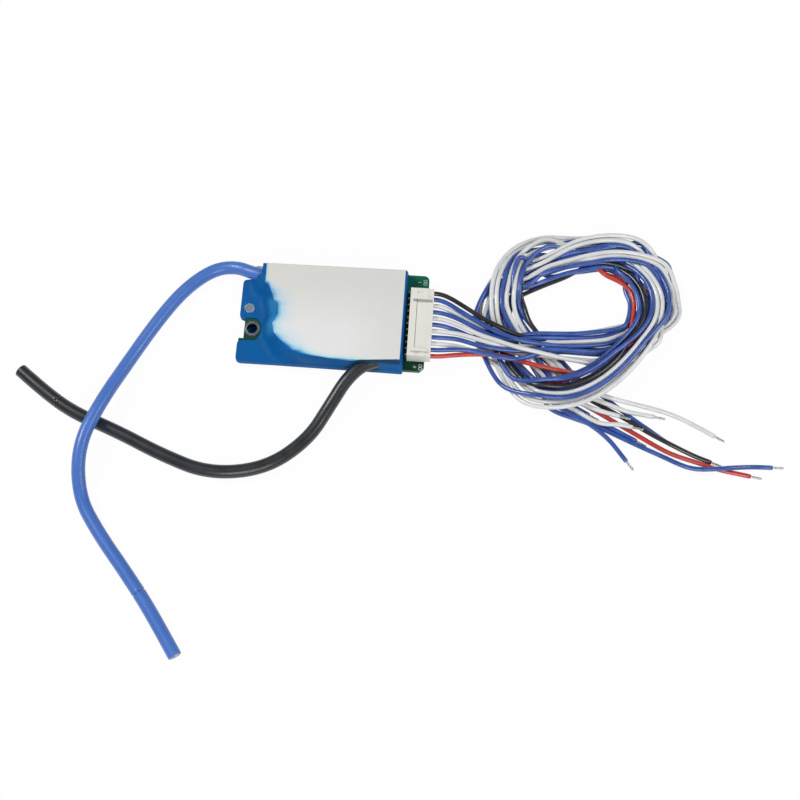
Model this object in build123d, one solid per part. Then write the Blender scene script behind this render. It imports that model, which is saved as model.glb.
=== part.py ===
from build123d import *
import math
import os

# Battery management board for ten cells in series, in millimetres.
# +X points towards the sense wire header, +Y to the rear edge, +Z up.
# The origin is the bottom centre of the board without its free cables.

# Circuit board
board_length = 55.7
board_width = 31.2
board_thickness = 1.6
board_corner_radius = 1.6
board_end_chamfer = 1.3
board_left_chamfer = 1.2
under_board_gap = 1.2
corner_notch_length = 6.9
corner_notch_width = 5.05
eyelet_recess_depth = 1.45
eyelet_recess_width = 6.9

# Mounting eyelet and serrated rivet, measured from the board's left end and its middle line
eyelet_bore_radius = 1.5
eyelet_barrel_wall = 0.3
eyelet_flange_radius = 2.35
eyelet_flange_height = 0.3
eyelet_groove_width = 0.3
eyelet_groove_depth = 0.12
eyelet_y = -5.0
rivet_from_end = 2.4
rivet_y = 1.5
rivet_head_radius = 1.5
rivet_head_height = 0.45
rivet_shank_radius = 0.7
rivet_teeth = 16
rivet_tooth_depth = 0.22
hole_clearance = 0.05
cutter_margin = 1.0

# Film sleeve
film_thickness = 0.25
film_clearance = 0.05
film_bottom_bevel = 1.0
film_top_bevel = 0.25
film_side_lean = 0.95
film_end_lean = 0.3
film_shoulder_drop = 0.6
film_shoulder_inset = 0.5
film_raised_left_from_end = 10.7
film_slope_run = 2.9
film_step_y = 8.4
film_step_drop = 1.8
film_front_corner_y = -6.5
film_front_corner_run = 7.4
panel_thickness = 0.15

# Heat path over the power transistors
transistor_length = 6.5
transistor_width = 6.1
transistor_height = 2.3
transistor_pitch_x = 7.2
transistor_columns = 4
transistor_first_x = -12.0
transistor_rows_y = (7.0, -5.2)
transistor_lead_height = 0.5
transistor_lead_width = 0.8
transistor_lead_length = 1.8
transistor_lead_pitch = 2.3
pad_end_overhang = 0.15
pad_side_overhang = 0.6
pad_thickness = 1.8
plate_thickness = 0.95
plate_side_gap = 0.85

# Small parts
shunt_length = 6.3
shunt_width = 3.2
shunt_height = 0.7
shunt_x = 16.5
shunt_rows_y = (7.9, 0.8, -6.3)
shunt_end_length = 1.1
chip_length = 9.9
chip_width = 3.9
chip_height = 0.9
chip_x = -4.0
chip_y = 0.0
chip_pin_pitch = 1.27
chip_pins_a_side = 7
chip_pin_width = 0.42
chip_pin_reach = 1.05
chip_pin_thickness = 0.2
resistor_length = 3.2
resistor_width = 1.6
resistor_height = 0.6
resistor_pitch = 3.4
resistor_y = -9.5
capacitor_length = 2.0
capacitor_width = 1.25
capacitor_height = 0.8
capacitor_y = 8.5
cell_count = 10
small_parts_first_x = -17.0

# Sense header, plug and wires
wire_count = 11
wire_pitch = 2.0
header_y = -1.1
header_margin = 1.7
header_depth = 5.4
header_height = 4.8
header_overhang = 0.15
header_back_wall = 1.2
header_wall = 0.75
header_side_wall = 0.6
header_window_setback = 2.0
header_window_margin = 2.9
key_slot_length = 1.5
key_slot_width = 0.9
key_slot_depth = 0.35
key_slot_setback = 2.1
plug_proud = 1.55
plug_clearance = 0.1
plug_tongue_recess = 0.3
plug_flange_margin = 0.2
plug_back_gap = 0.15
pin_size = 0.5
pin_row_gap = 0.4
pin_reach = 2.0
pin_tail_gap = 0.35
pin_hole_radius = 0.42
pin_solder_radius = 0.75
pin_solder_height = 0.7
film_header_gap = 0.8
crimp_outer = 1.1
crimp_inner = 0.56
crimp_length = 2.1
crimp_bore = 1.2
wire_diameter = 1.4
wire_bore_clearance = 0.06
wire_core_diameter = 0.7
wire_strip_length = 3.2

# Power cables
cable_diameter = 4.0
cable_core_diameter = 2.4
cable_slot_clearance = 0.3
cable_core_reach = 2.6
score_gap = 0.3
cable_board_gap = 0.05
blue_joint_pad_gap = 0.4
blue_joint_from_side = 4.9
black_joint_from_end = 3.5
black_joint_from_side = 3.2
solder_width = 3.6
solder_cover = 0.25
tab_thickness = 0.5
tab_width = 1.6
tab_length = 6.2
tab_from_end = 3.3
tab_rear_gap = 0.2

# Wound part of the sense wires
coil_height = 6.3
coil_edge = 1.2

# Worked out from the sizes above
overall_length = film_clearance + film_thickness + board_length + header_overhang + plug_proud
film_left = -overall_length / 2
plug_right = overall_length / 2
board_left = film_left + film_thickness + film_clearance
board_right = board_left + board_length
board_bottom = film_thickness + under_board_gap
board_top = board_bottom + board_thickness
board_rear = board_width / 2
header_front = board_right + header_overhang
header_back = header_front - header_depth
header_top = board_top + header_height
header_half = (wire_count - 1) * wire_pitch / 2 + header_margin
pin_z = board_top + header_height / 2 - 0.1
pin_row_x = header_back - pin_row_gap
film_right = header_back - film_header_gap
film_side = board_rear + film_clearance + film_thickness
film_low_top = board_top + film_clearance + film_thickness
film_rear_left = board_left + corner_notch_length - film_clearance - film_thickness
plate_bottom = board_top + transistor_height + pad_thickness
film_raised_top = plate_bottom + plate_thickness + film_thickness
eyelet_x = board_left + eyelet_recess_depth + eyelet_flange_radius
rivet_x = board_left + rivet_from_end
notch_front = board_rear - corner_notch_width
tab_y = board_rear - tab_rear_gap - tab_width / 2
transistor_run = (transistor_columns - 1) * transistor_pitch_x
pad_x = transistor_first_x + transistor_run / 2
pad_length = transistor_run + transistor_length + 2 * pad_end_overhang
transistor_row_gap = transistor_rows_y[0] - transistor_rows_y[1]
pad_width = transistor_row_gap + transistor_width + 2 * pad_side_overhang
blue_joint_x = pad_x - pad_length / 2 - blue_joint_pad_gap - cable_core_reach
black_joint_x = film_right - black_joint_from_end
cable_joint_z = board_top + cable_diameter / 2 + cable_board_gap

# Routes of the cables as chosen points, each one a corner that the cable rounds.
# The blue cable leaves the raised film at the rear left and ends at the front left.
blue_route = [
    (blue_joint_x, film_side - blue_joint_from_side, cable_joint_z),
    (-25.0, 11.9, 5.1),
    (-31.4, 15.1, 2.7),
    (-38.6, 14.0, 2.0),
    (-46.6, 6.8, 2.0),
    (-53.5, -4.0, 2.0),
    (-60.3, -17.3, 2.2),
    (-66.3, -32.6, 6.5),
    (-70.9, -46.0, 6.5),
    (-69.6, -60.0, 2.2),
    (-62.5, -70.4, 2.0),
    (-53.6, -81.0, 2.0),
    (-45.0, -91.8, 2.0),
    (-36.7, -104.1, 2.0),
]
# The black cable leaves through the front film wall and ends at the far left.
black_route = [
    (black_joint_x, black_joint_from_side - film_side, cable_joint_z),
    (11.4, -13.5, 5.1),
    (5.2, -18.9, 5.0),
    (0.4, -27.4, 2.3),
    (-5.2, -38.4, 2.0),
    (-16.8, -48.0, 2.0),
    (-33.0, -50.6, 2.0),
    (-47.5, -45.7, 2.0),
    (-61.5, -39.3, 2.0),
    (-74.5, -34.6, 2.0),
    (-84.0, -28.6, 2.0),
    (-92.1, -22.3, 2.0),
]
# Each sense wire from the plug to the coil: the points after the plug's rear face.
lead_points = [
    [(31.2, 8.9, 5.3), (36.8, 6.1, 5.4), (42.8, 2.4, 5.4)],
    [(31.2, 6.9, 5.3), (36.8, 3.9, 5.4), (42.8, 0.5, 5.4)],
    [(31.2, 4.9, 5.3), (36.6, 2.5, 4.1), (42.8, -0.8, 3.6)],
    [(31.2, 2.9, 5.3), (36.8, 1.3, 5.4), (42.8, -1.5, 5.4)],
    [(31.2, 0.9, 5.3), (36.8, -0.7, 5.4), (42.8, -3.2, 5.4)],
    [(31.2, -1.1, 5.3), (36.6, -2.1, 4.1), (42.8, -4.3, 3.6)],
    [(31.2, -3.1, 5.3), (36.8, -3.6, 5.4), (42.8, -5.1, 5.4)],
    [(31.2, -5.1, 5.3), (36.8, -5.3, 5.4), (42.8, -6.9, 5.4)],
    [(31.2, -7.1, 5.3), (36.6, -6.9, 4.1), (42.8, -7.9, 3.6)],
    [(31.2, -9.1, 5.3), (36.8, -8.4, 5.4), (43.0, -8.7, 5.4)],
    [(31.2, -11.1, 5.3), (36.8, -9.95, 5.4), (45.5, -10.6, 5.4)],
]
# Each sense wire from the coil to the end of its insulation.
tail_points = [
    [(70.5, -16.9, 0.75), (78.5, -21.4, 0.75), (86.5, -25.4, 0.75), (93.5, -29.3, 0.75),
     (101.0, -33.4, 0.75), (107.5, -35.3, 0.75), (112.4, -36.8, 0.75)],
    [(64.0, -22.1, 0.75), (71.0, -25.3, 0.75), (80.0, -29.1, 0.75), (89.0, -33.8, 0.75),
     (98.5, -37.6, 0.75), (105.5, -39.4, 0.9), (111.0, -39.4, 2.4), (117.5, -38.7, 2.4),
     (124.0, -37.7, 0.75), (130.2, -37.6, 0.75)],
    [(73.0, -15.6, 2.3), (81.0, -18.9, 2.3), (90.5, -21.1, 2.3), (99.5, -22.6, 0.75),
     (107.0, -25.8, 0.75), (113.4, -29.1, 0.75)],
    [(73.5, -15.0, 0.75), (81.0, -19.5, 0.75), (87.5, -24.0, 0.75), (94.0, -27.8, 0.75),
     (98.4, -30.2, 0.75), (101.2, -31.8, 0.75)],
    [(71.5, -17.4, 2.3), (79.5, -20.7, 2.3), (87.5, -23.5, 2.2), (92.0, -23.8, 1.1),
     (95.8, -24.2, 0.75)],
    [(66.5, -21.0, 0.75), (73.0, -24.3, 0.75), (82.0, -27.9, 0.75), (88.5, -31.2, 0.75),
     (92.4, -33.4, 0.75)],
    [(70.0, -19.3, 2.3), (76.5, -22.7, 2.3), (81.5, -24.3, 2.3), (85.5, -25.2, 2.3)],
    [(68.0, -20.4, 2.3), (74.0, -23.3, 2.3), (77.6, -24.9, 2.3)],
    [(66.8, -21.0, 2.3), (73.0, -24.4, 2.3), (79.3, -27.7, 2.3), (85.0, -27.7, 2.3),
     (89.3, -28.4, 2.3)],
    [(65.0, -21.9, 2.3), (71.0, -25.1, 2.3), (77.3, -28.6, 2.3), (82.0, -32.1, 1.2),
     (84.6, -35.3, 0.75), (87.1, -38.5, 0.75)],
    [(69.0, -18.9, 0.75), (76.5, -22.9, 0.75), (84.5, -27.1, 0.75), (92.5, -31.4, 0.75),
     (100.0, -35.2, 0.75), (107.5, -37.3, 0.75), (114.5, -39.2, 0.75), (119.5, -40.0, 0.75),
     (123.8, -40.7, 0.75)],
]
# The coil seen from above: the corners that its outside and its open middle round.
coil_outside = [(41.5, 9.0), (50.0, 29.5), (62.0, 34.8), (88.0, 35.2), (100.5, 27.0), (105.0, 11.5),
                (97.0, -7.0), (80.5, -22.0), (67.0, -25.6), (54.0, -21.5), (41.5, -7.5)]
coil_middle = [(56.5, 9.0), (59.5, 15.8), (77.0, 21.0), (85.0, 17.5), (86.5, 6.5), (80.0, 1.0),
               (61.5, -0.5)]


def block(x0, x1, y0, y1, z0, z1):
    """A box between the given low and high values along each axis."""
    shape = Box(x1 - x0, y1 - y0, z1 - z0)
    return Pos((x0 + x1) / 2, (y0 + y1) / 2, (z0 + z1) / 2) * shape


def post(x, y, z0, z1, radius):
    """An upright cylinder from z0 to z1."""
    return Pos(x, y, (z0 + z1) / 2) * Cylinder(radius, z1 - z0)


def inset(points, distance):
    """The polygon with every side moved inwards by the distance, for points listed anticlockwise."""
    result = []
    for i, corner in enumerate(points):
        before = points[i - 1]
        after = points[(i + 1) % len(points)]
        a = math.atan2(corner[1] - before[1], corner[0] - before[0])
        b = math.atan2(after[1] - corner[1], after[0] - corner[0])
        half = (b - a) / 2
        reach = distance / math.cos(half)
        middle = a + half + math.pi / 2
        result.append((corner[0] + reach * math.cos(middle), corner[1] + reach * math.sin(middle)))
    return result


def stack(levels):
    """A solid through flat polygons at rising heights, with straight walls between them."""
    faces = [Pos(0, 0, z) * make_face(Polyline(*points, close=True)) for z, points in levels]
    return loft(faces, ruled=True)


def corner_radii(points):
    """For each corner of a route, the largest arc that takes 0.45 of its shorter run."""
    radii = []
    for i in range(1, len(points) - 1):
        come = Vector(*points[i]) - Vector(*points[i - 1])
        go = Vector(*points[i + 1]) - Vector(*points[i])
        half_turn = math.radians(come.get_angle(go)) / 2
        radii.append(0.45 * min(come.length, go.length) / math.tan(half_turn))
    return radii


def cord(name, points, diameter, radii=None):
    """A round tube along straight runs joined by arcs."""
    radii = radii or corner_radii(points)
    path = FilletPolyline(*points, radius=radii)
    print(name, "radii", [round(r, 1) for r in radii], "length", round(path.length, 1))
    tube = sweep(Plane(origin=path @ 0, z_dir=path % 0) * Circle(diameter / 2), path=path)
    share = tube.volume / (math.pi * diameter ** 2 / 4 * path.length)
    print(name, "volume over section times length", round(share, 4))
    return tube


def rod(start, end, diameter):
    """A straight round rod between two points."""
    path = Line(start, end)
    return sweep(Plane(origin=start, z_dir=path % 0) * Circle(diameter / 2), path=path)


def beyond(start, end, distance):
    """The point past end by the distance, on the line from start to end."""
    way = (Vector(*end) - Vector(*start)).normalized()
    return tuple(Vector(*end) + way * distance)


def wire_y(index):
    """The place across the header of the wire with this index, from the rear."""
    return header_y + ((wire_count - 1) / 2 - index) * wire_pitch


def ring_outline(points):
    """A closed outline whose corners are arcs."""
    around = [points[-1]] + points + [points[0]]
    radii = corner_radii([(x, y, 0) for x, y in around])
    return make_face(FilletPolyline(*points, radius=radii, close=True))


def raised_outlines():
    """The base and the shoulder of the raised film, seen from above, anticlockwise."""
    raised_left = film_left + film_raised_left_from_end
    side = film_side - film_side_lean
    front_corner = raised_left + film_front_corner_run
    shoulder = [
        (film_right - film_end_lean, -side),
        (film_right - film_end_lean, side),
        (film_rear_left + film_end_lean, side),
        (film_rear_left + film_end_lean, film_step_y),
        (raised_left, film_step_y - film_step_drop),
        (raised_left, film_front_corner_y),
        (front_corner, -side),
    ]
    base = [
        (film_right, -film_side),
        (film_right, film_side),
        (film_rear_left, film_side),
        (film_rear_left, film_step_y + film_end_lean),
        (raised_left - film_slope_run, film_step_y - film_step_drop / 2),
        (raised_left - film_slope_run, film_front_corner_y - film_step_drop),
        (front_corner - film_slope_run, -film_side),
    ]
    return base, shoulder


def low_outline():
    """The film's outline round the board, with the rear left corner left out."""
    rear = notch_front + film_clearance + film_thickness
    return [
        (film_left + board_left_chamfer, -film_side),
        (film_right, -film_side),
        (film_right, film_side),
        (film_rear_left, film_side),
        (film_rear_left, rear),
        (film_left + board_left_chamfer, rear),
        (film_left, rear - board_left_chamfer),
        (film_left, -film_side + board_left_chamfer),
    ]


def film_body(grow_in):
    """The filled film shape, or its hollow when every wall is moved in by grow_in."""
    low = low_outline()
    base, shoulder = raised_outlines()
    shoulder_z = film_raised_top - film_shoulder_drop
    top_z = film_low_top - grow_in
    lower = stack([
        (grow_in, inset(low, grow_in + film_bottom_bevel)),
        (film_bottom_bevel, inset(low, grow_in)),
        (top_z - (0 if grow_in else film_top_bevel), inset(low, grow_in)),
        (top_z, inset(low, grow_in if grow_in else film_top_bevel)),
    ][:3 if grow_in else 4])
    upper = stack([
        (board_top - grow_in, inset(base, grow_in)),
        (shoulder_z - grow_in / 2, inset(shoulder, grow_in)),
        (film_raised_top - grow_in, inset(shoulder, grow_in + film_shoulder_inset)),
    ])
    return lower + upper


def make_board():
    board = block(board_left, board_right, -board_rear, board_rear, board_bottom, board_top)
    right_edges = board.edges().filter_by(Axis.Z).sort_by(Axis.X)[-2:].sort_by(Axis.Y)
    board = chamfer(right_edges[0], board_end_chamfer)
    board = fillet(board.edges().filter_by(Axis.Z).sort_by(Axis.X)[-1:], board_corner_radius)
    board -= block(board_left, board_left + corner_notch_length, notch_front, board_rear,
                   board_bottom, board_top)
    left_edges = board.edges().filter_by(Axis.Z).group_by(Axis.X)[0]
    board = chamfer(left_edges, board_left_chamfer)
    recess = eyelet_recess_width / 2
    board -= block(board_left, board_left + eyelet_recess_depth, eyelet_y - recess,
                   eyelet_y + recess, board_bottom, board_top)
    barrel = eyelet_bore_radius + eyelet_barrel_wall + hole_clearance
    board -= post(eyelet_x, eyelet_y, board_bottom, board_top, barrel)
    board -= post(rivet_x, rivet_y, board_bottom, board_top, rivet_shank_radius + hole_clearance)
    for i in range(wire_count):
        board -= post(pin_row_x, wire_y(i), board_bottom, board_top, pin_hole_radius)
    return board


def make_film(cable_ways):
    film = film_body(0) - film_body(film_thickness)
    open_end = block(film_right - film_bottom_bevel - film_thickness * 2, film_right + cutter_margin,
                     -film_side + film_bottom_bevel + film_thickness,
                     film_side - film_bottom_bevel - film_thickness,
                     film_thickness, film_raised_top - film_shoulder_drop)
    film -= open_end
    board_slot = block(film_right - film_bottom_bevel * 2, film_right + cutter_margin,
                       -board_rear - film_clearance, board_rear + film_clearance,
                       board_bottom - film_clearance, board_top + film_clearance)
    film -= board_slot
    recess = eyelet_recess_width / 2
    above = film_low_top + cutter_margin
    film -= block(film_left - cutter_margin, eyelet_x + eyelet_flange_radius / 2,
                  eyelet_y - recess, eyelet_y + recess, -cutter_margin, above)
    film -= post(eyelet_x, eyelet_y, -cutter_margin, above, eyelet_flange_radius + hole_clearance)
    film -= post(rivet_x, rivet_y, board_top, above, rivet_head_radius + hole_clearance)
    tab_hole = tab_thickness + film_clearance
    film -= block(board_left, board_left + corner_notch_length,
                  tab_y - tab_width / 2 - film_clearance, tab_y + tab_width / 2 + film_clearance,
                  board_top - film_clearance, board_top + tab_hole)
    for way in cable_ways:
        film -= way
    return film


def make_panel():
    shoulder = raised_outlines()[1]
    flat = inset(shoulder, film_shoulder_inset)
    return stack([(film_raised_top, flat), (film_raised_top + panel_thickness, flat)])


def make_plate():
    flat = inset(raised_outlines()[1], plate_side_gap)
    return stack([(plate_bottom, flat), (plate_bottom + plate_thickness, flat)])


def transistor_places():
    return [(transistor_first_x + i * transistor_pitch_x, y)
            for y in transistor_rows_y for i in range(transistor_columns)]


def make_transistors():
    bodies = []
    leads = []
    for x, y in transistor_places():
        body = block(x - transistor_length / 2, x + transistor_length / 2, y - transistor_width / 2,
                     y + transistor_width / 2, board_top, board_top + transistor_height)
        bodies.append(chamfer(body.edges().group_by(Axis.Z)[-1], transistor_lead_height / 2))
        front = y - transistor_width / 2
        for side in (-1, 1):
            middle = x + side * transistor_lead_pitch
            leads.append(block(middle - transistor_lead_width / 2, middle + transistor_lead_width / 2,
                               front - transistor_lead_length, front, board_top,
                               board_top + transistor_lead_height))
    return bodies, leads


def make_pad():
    middle_y = sum(transistor_rows_y) / len(transistor_rows_y)
    return block(pad_x - pad_length / 2, pad_x + pad_length / 2, middle_y - pad_width / 2,
                 middle_y + pad_width / 2, plate_bottom - pad_thickness, plate_bottom)


def make_shunts():
    shunts = []
    for y in shunt_rows_y:
        bar = block(shunt_x - shunt_width / 2, shunt_x + shunt_width / 2, y - shunt_length / 2,
                    y + shunt_length / 2, board_top, board_top + shunt_height)
        middle = shunt_length / 2 - shunt_end_length
        bar -= block(shunt_x - shunt_width, shunt_x + shunt_width, y - middle, y + middle,
                     board_top, board_top + shunt_height / 4)
        shunts.append(bar)
    return shunts


def make_chip():
    body = block(chip_x - chip_length / 2, chip_x + chip_length / 2, chip_y - chip_width / 2,
                 chip_y + chip_width / 2, board_bottom - chip_height, board_bottom)
    pins = []
    for i in range(chip_pins_a_side):
        x = chip_x + (i - (chip_pins_a_side - 1) / 2) * chip_pin_pitch
        for side in (-1, 1):
            near = chip_y + side * chip_width / 2
            far = near + side * chip_pin_reach
            pins.append(block(x - chip_pin_width / 2, x + chip_pin_width / 2, min(near, far),
                              max(near, far), board_bottom - chip_pin_thickness, board_bottom))
    return body, pins


def make_row(y, length, width, height):
    """Ten small parts in a row under the board, one for each cell."""
    parts = []
    for i in range(cell_count):
        x = small_parts_first_x + i * resistor_pitch
        parts.append(block(x - width / 2, x + width / 2, y - length / 2, y + length / 2,
                           board_bottom - height, board_bottom))
    return parts


def make_eyelet():
    """A turned ring: barrel through the board and a grooved flange on each face."""
    inner = eyelet_bore_radius
    barrel = inner + eyelet_barrel_wall
    outer = eyelet_flange_radius
    top = board_top + eyelet_flange_height
    bottom = board_bottom - eyelet_flange_height
    ring = post(eyelet_x, eyelet_y, bottom, top, barrel)
    ring += post(eyelet_x, eyelet_y, board_top, top, outer)
    ring += post(eyelet_x, eyelet_y, bottom, board_bottom, outer)
    groove_out = (barrel + outer + eyelet_groove_width) / 2
    groove_in = groove_out - eyelet_groove_width
    groove = post(eyelet_x, eyelet_y, top - eyelet_groove_depth, top, groove_out)
    groove -= post(eyelet_x, eyelet_y, top - eyelet_groove_depth, top, groove_in)
    ring -= groove
    ring -= post(eyelet_x, eyelet_y, bottom, top, inner)
    return ring


def make_rivet():
    """A rivet with a toothed rim on its head and a plain closed end under the board."""
    head = post(rivet_x, rivet_y, board_top, board_top + rivet_head_height, rivet_head_radius)
    for i in range(rivet_teeth):
        turn = 2 * math.pi * i / rivet_teeth
        head -= post(rivet_x + rivet_head_radius * math.cos(turn),
                     rivet_y + rivet_head_radius * math.sin(turn),
                     board_top, board_top + rivet_head_height, rivet_tooth_depth)
    shank = post(rivet_x, rivet_y, board_bottom - rivet_head_height, board_top, rivet_shank_radius)
    end = post(rivet_x, rivet_y, board_bottom - rivet_head_height, board_bottom,
               rivet_shank_radius * 1.5)
    return head + shank + end


def make_header():
    shroud = block(header_back, header_front, header_y - header_half, header_y + header_half,
                   board_top, header_top)
    inner = header_half - header_side_wall
    shroud -= block(header_back + header_back_wall, header_front, header_y - inner, header_y + inner,
                    board_top + header_wall, header_top - header_wall)
    window = header_half - header_window_margin
    shroud -= block(header_back + header_window_setback, header_front, header_y - window,
                    header_y + window, header_top - header_wall, header_top)
    for side in (-1, 1):
        middle = header_y + side * (header_half - header_window_margin / 2)
        start = header_back + key_slot_setback
        shroud -= block(start, start + key_slot_length, middle - key_slot_width / 2,
                        middle + key_slot_width / 2, header_top - key_slot_depth, header_top)
    for i in range(wire_count):
        shroud -= block(header_back, header_back + header_back_wall, wire_y(i) - pin_size / 2,
                        wire_y(i) + pin_size / 2, pin_z - pin_size / 2, pin_z + pin_size / 2)
    return shroud


def make_pins():
    pins = []
    solders = []
    half = pin_size / 2
    for i in range(wire_count):
        y = wire_y(i)
        leg = block(pin_row_x - half, pin_row_x + half, y - half, y + half,
                    pin_tail_gap, pin_z + half)
        arm = block(pin_row_x - half, header_back + header_back_wall + pin_reach, y - half, y + half,
                    pin_z - half, pin_z + half)
        pin = leg + arm
        pins.append(pin)
        cone = Cone(pin_size, pin_solder_radius, pin_solder_height)
        cone = Pos(pin_row_x, y, board_bottom - pin_solder_height / 2) * cone
        solders.append(cone - pin)
    return pins, solders


def make_plug():
    inner = header_half - header_side_wall - plug_clearance
    back = header_back + header_back_wall + plug_back_gap
    body = block(back, header_front, header_y - inner, header_y + inner,
                 board_top + header_wall + plug_clearance, header_top - header_wall - plug_clearance)
    window = header_half - header_window_margin - plug_clearance
    body += block(header_back + header_window_setback + plug_clearance, plug_right,
                  header_y - window, header_y + window,
                  header_top - header_wall - plug_clearance, header_top - plug_tongue_recess)
    body += block(header_front, plug_right, header_y - header_half, header_y + header_half,
                  board_top + plug_flange_margin, header_top - plug_flange_margin)
    crimp_end = back + plug_back_gap + crimp_length
    for i in range(wire_count):
        y = wire_y(i)
        body -= block(back, crimp_end, y - crimp_bore / 2, y + crimp_bore / 2,
                      pin_z - crimp_bore / 2, pin_z + crimp_bore / 2)
        body -= rod((crimp_end, y, pin_z), (plug_right, y, pin_z),
                    wire_diameter + 2 * wire_bore_clearance)
    return body, back + plug_back_gap, crimp_end


def make_crimps(start, end):
    crimps = []
    for i in range(wire_count):
        y = wire_y(i)
        half = crimp_outer / 2
        shell = block(start, end, y - half, y + half, pin_z - half, pin_z + half)
        hollow = crimp_inner / 2
        shell -= block(start, header_back + header_back_wall + pin_reach, y - hollow, y + hollow,
                       pin_z - hollow, pin_z + hollow)
        crimps.append(shell)
    return crimps


def make_cable(name, route):
    """A power cable: the long tube, its scored end piece and the copper core at both ends.

    The insulation is cut through all round in the middle of the last run but one.
    """
    score_run = len(route) - 3
    radii = corner_radii(route)
    before = Vector(*route[score_run])
    after = Vector(*route[score_run + 1])
    way = (after - before).normalized()
    score = (before + after) / 2
    edge = score - way * score_gap
    tube = cord(name, route[:score_run + 1] + [tuple(edge)], cable_diameter, radii[:score_run])
    end_route = [tuple(score)] + route[score_run + 1:]
    sleeve = cord(name + " end", end_route, cable_diameter, radii[score_run:])
    core_route = [tuple(edge)] + route[score_run + 1:]
    outer_core = cord(name + " core", core_route, cable_core_diameter, radii[score_run:])
    sleeve -= outer_core
    start = Vector(*route[0])
    inwards = (start - Vector(*route[1])).normalized()
    inner_core = rod(tuple(start), tuple(start + inwards * cable_core_reach), cable_core_diameter)
    return tube, sleeve, [inner_core, outer_core], start + inwards * cable_core_reach / 2


def make_solder(middle, core, tube):
    """A solder lump round a cable's core, standing on the board."""
    top = middle.Z + cable_core_diameter / 2 + solder_cover
    lump = block(middle.X - cable_core_reach / 2, middle.X + cable_core_reach / 2,
                 middle.Y - solder_width / 2, middle.Y + solder_width / 2, board_top, top)
    lump = chamfer(lump.edges().group_by(Axis.Z)[-1], solder_width / 6)
    return lump - core - tube


def make_tab():
    """The tinned strip that stands out over the notch at the rear left, behind the blue cable."""
    start = board_left + tab_from_end
    return block(start, start + tab_length, tab_y - tab_width / 2, tab_y + tab_width / 2,
                 board_top, board_top + tab_thickness)


def make_coil():
    """The closed outer shape of the wound wires, standing on the floor."""
    outside = extrude(ring_outline(coil_outside), coil_height)
    outside = chamfer(outside.edges().group_by(Axis.Z)[-1], coil_edge)
    return outside - extrude(ring_outline(coil_middle), coil_height)


def save(name, solids):
    """Writes one node: a single solid, or a group of separate ones."""
    shape = solids if not isinstance(solids, list) else Compound(children=solids)
    export_step(shape, f"parts/{name}.step")


os.makedirs("parts", exist_ok=True)

coil = make_coil()
plug, crimp_start, crimp_end = make_plug()
blue_tube, blue_sleeve, blue_cores, blue_joint = make_cable("blue cable", blue_route)
black_tube, black_sleeve, black_cores, black_joint = make_cable("black cable", black_route)
tab = make_tab()
clear = cable_diameter + 2 * cable_slot_clearance
blue_way = cord("blue cable's way out of the film", blue_route[:3], clear)
black_way = cord("black cable's way out of the film", black_route[:4], clear)
transistors, transistor_leads = make_transistors()
chip, chip_pins = make_chip()
pins, pin_solders = make_pins()

save("circuit_board", make_board())
save("board_film", make_film([blue_way, black_way]))
save("top_panel", make_panel())
save("heat_sink_plate", make_plate())
save("thermal_pad", make_pad())
save("power_transistors", transistors)
save("transistor_leads", transistor_leads)
save("shunt_resistors", make_shunts())
save("protection_chip", chip)
save("chip_pins", chip_pins)
save("balance_resistors", make_row(resistor_y, resistor_length, resistor_width, resistor_height))
save("filter_capacitors", make_row(capacitor_y, capacitor_length, capacitor_width, capacitor_height))
save("mounting_eyelet", make_eyelet())
save("serrated_rivet", make_rivet())
save("terminal_tab", tab)
save("blue_cable_solder", make_solder(blue_joint, blue_cores[0], blue_tube))
save("black_cable_solder", make_solder(black_joint, black_cores[0], black_tube))
save("header_shroud", make_header())
save("header_pins", pins)
save("header_pin_solder", pin_solders)
save("plug_housing", plug)
save("crimp_terminals", make_crimps(crimp_start, crimp_end))
save("blue_power_cable", blue_tube)
save("blue_cable_end", blue_sleeve)
save("blue_cable_core", blue_cores)
save("black_power_cable", black_tube)
save("black_cable_end", black_sleeve)
save("black_cable_core", black_cores)
save("sense_wire_coil", coil)

for i in range(wire_count):
    number = f"{i + 1:02d}"
    lead_route = [(crimp_end, wire_y(i), pin_z)] + lead_points[i]
    lead = cord(f"lead {number}", lead_route, wire_diameter) - coil
    tail = cord(f"tail {number}", tail_points[i], wire_diameter) - coil
    save(f"sense_wire_{number}", [lead, tail])
    insulation_end = tail_points[i][-1]
    tip_end = beyond(tail_points[i][-2], insulation_end, wire_strip_length)
    save(f"sense_wire_tip_{number}", rod(insulation_end, tip_end, wire_core_diameter))
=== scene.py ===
"""Looks of the battery management board: film, panel, header, cables and wound sense wires."""
import contextlib

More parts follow.
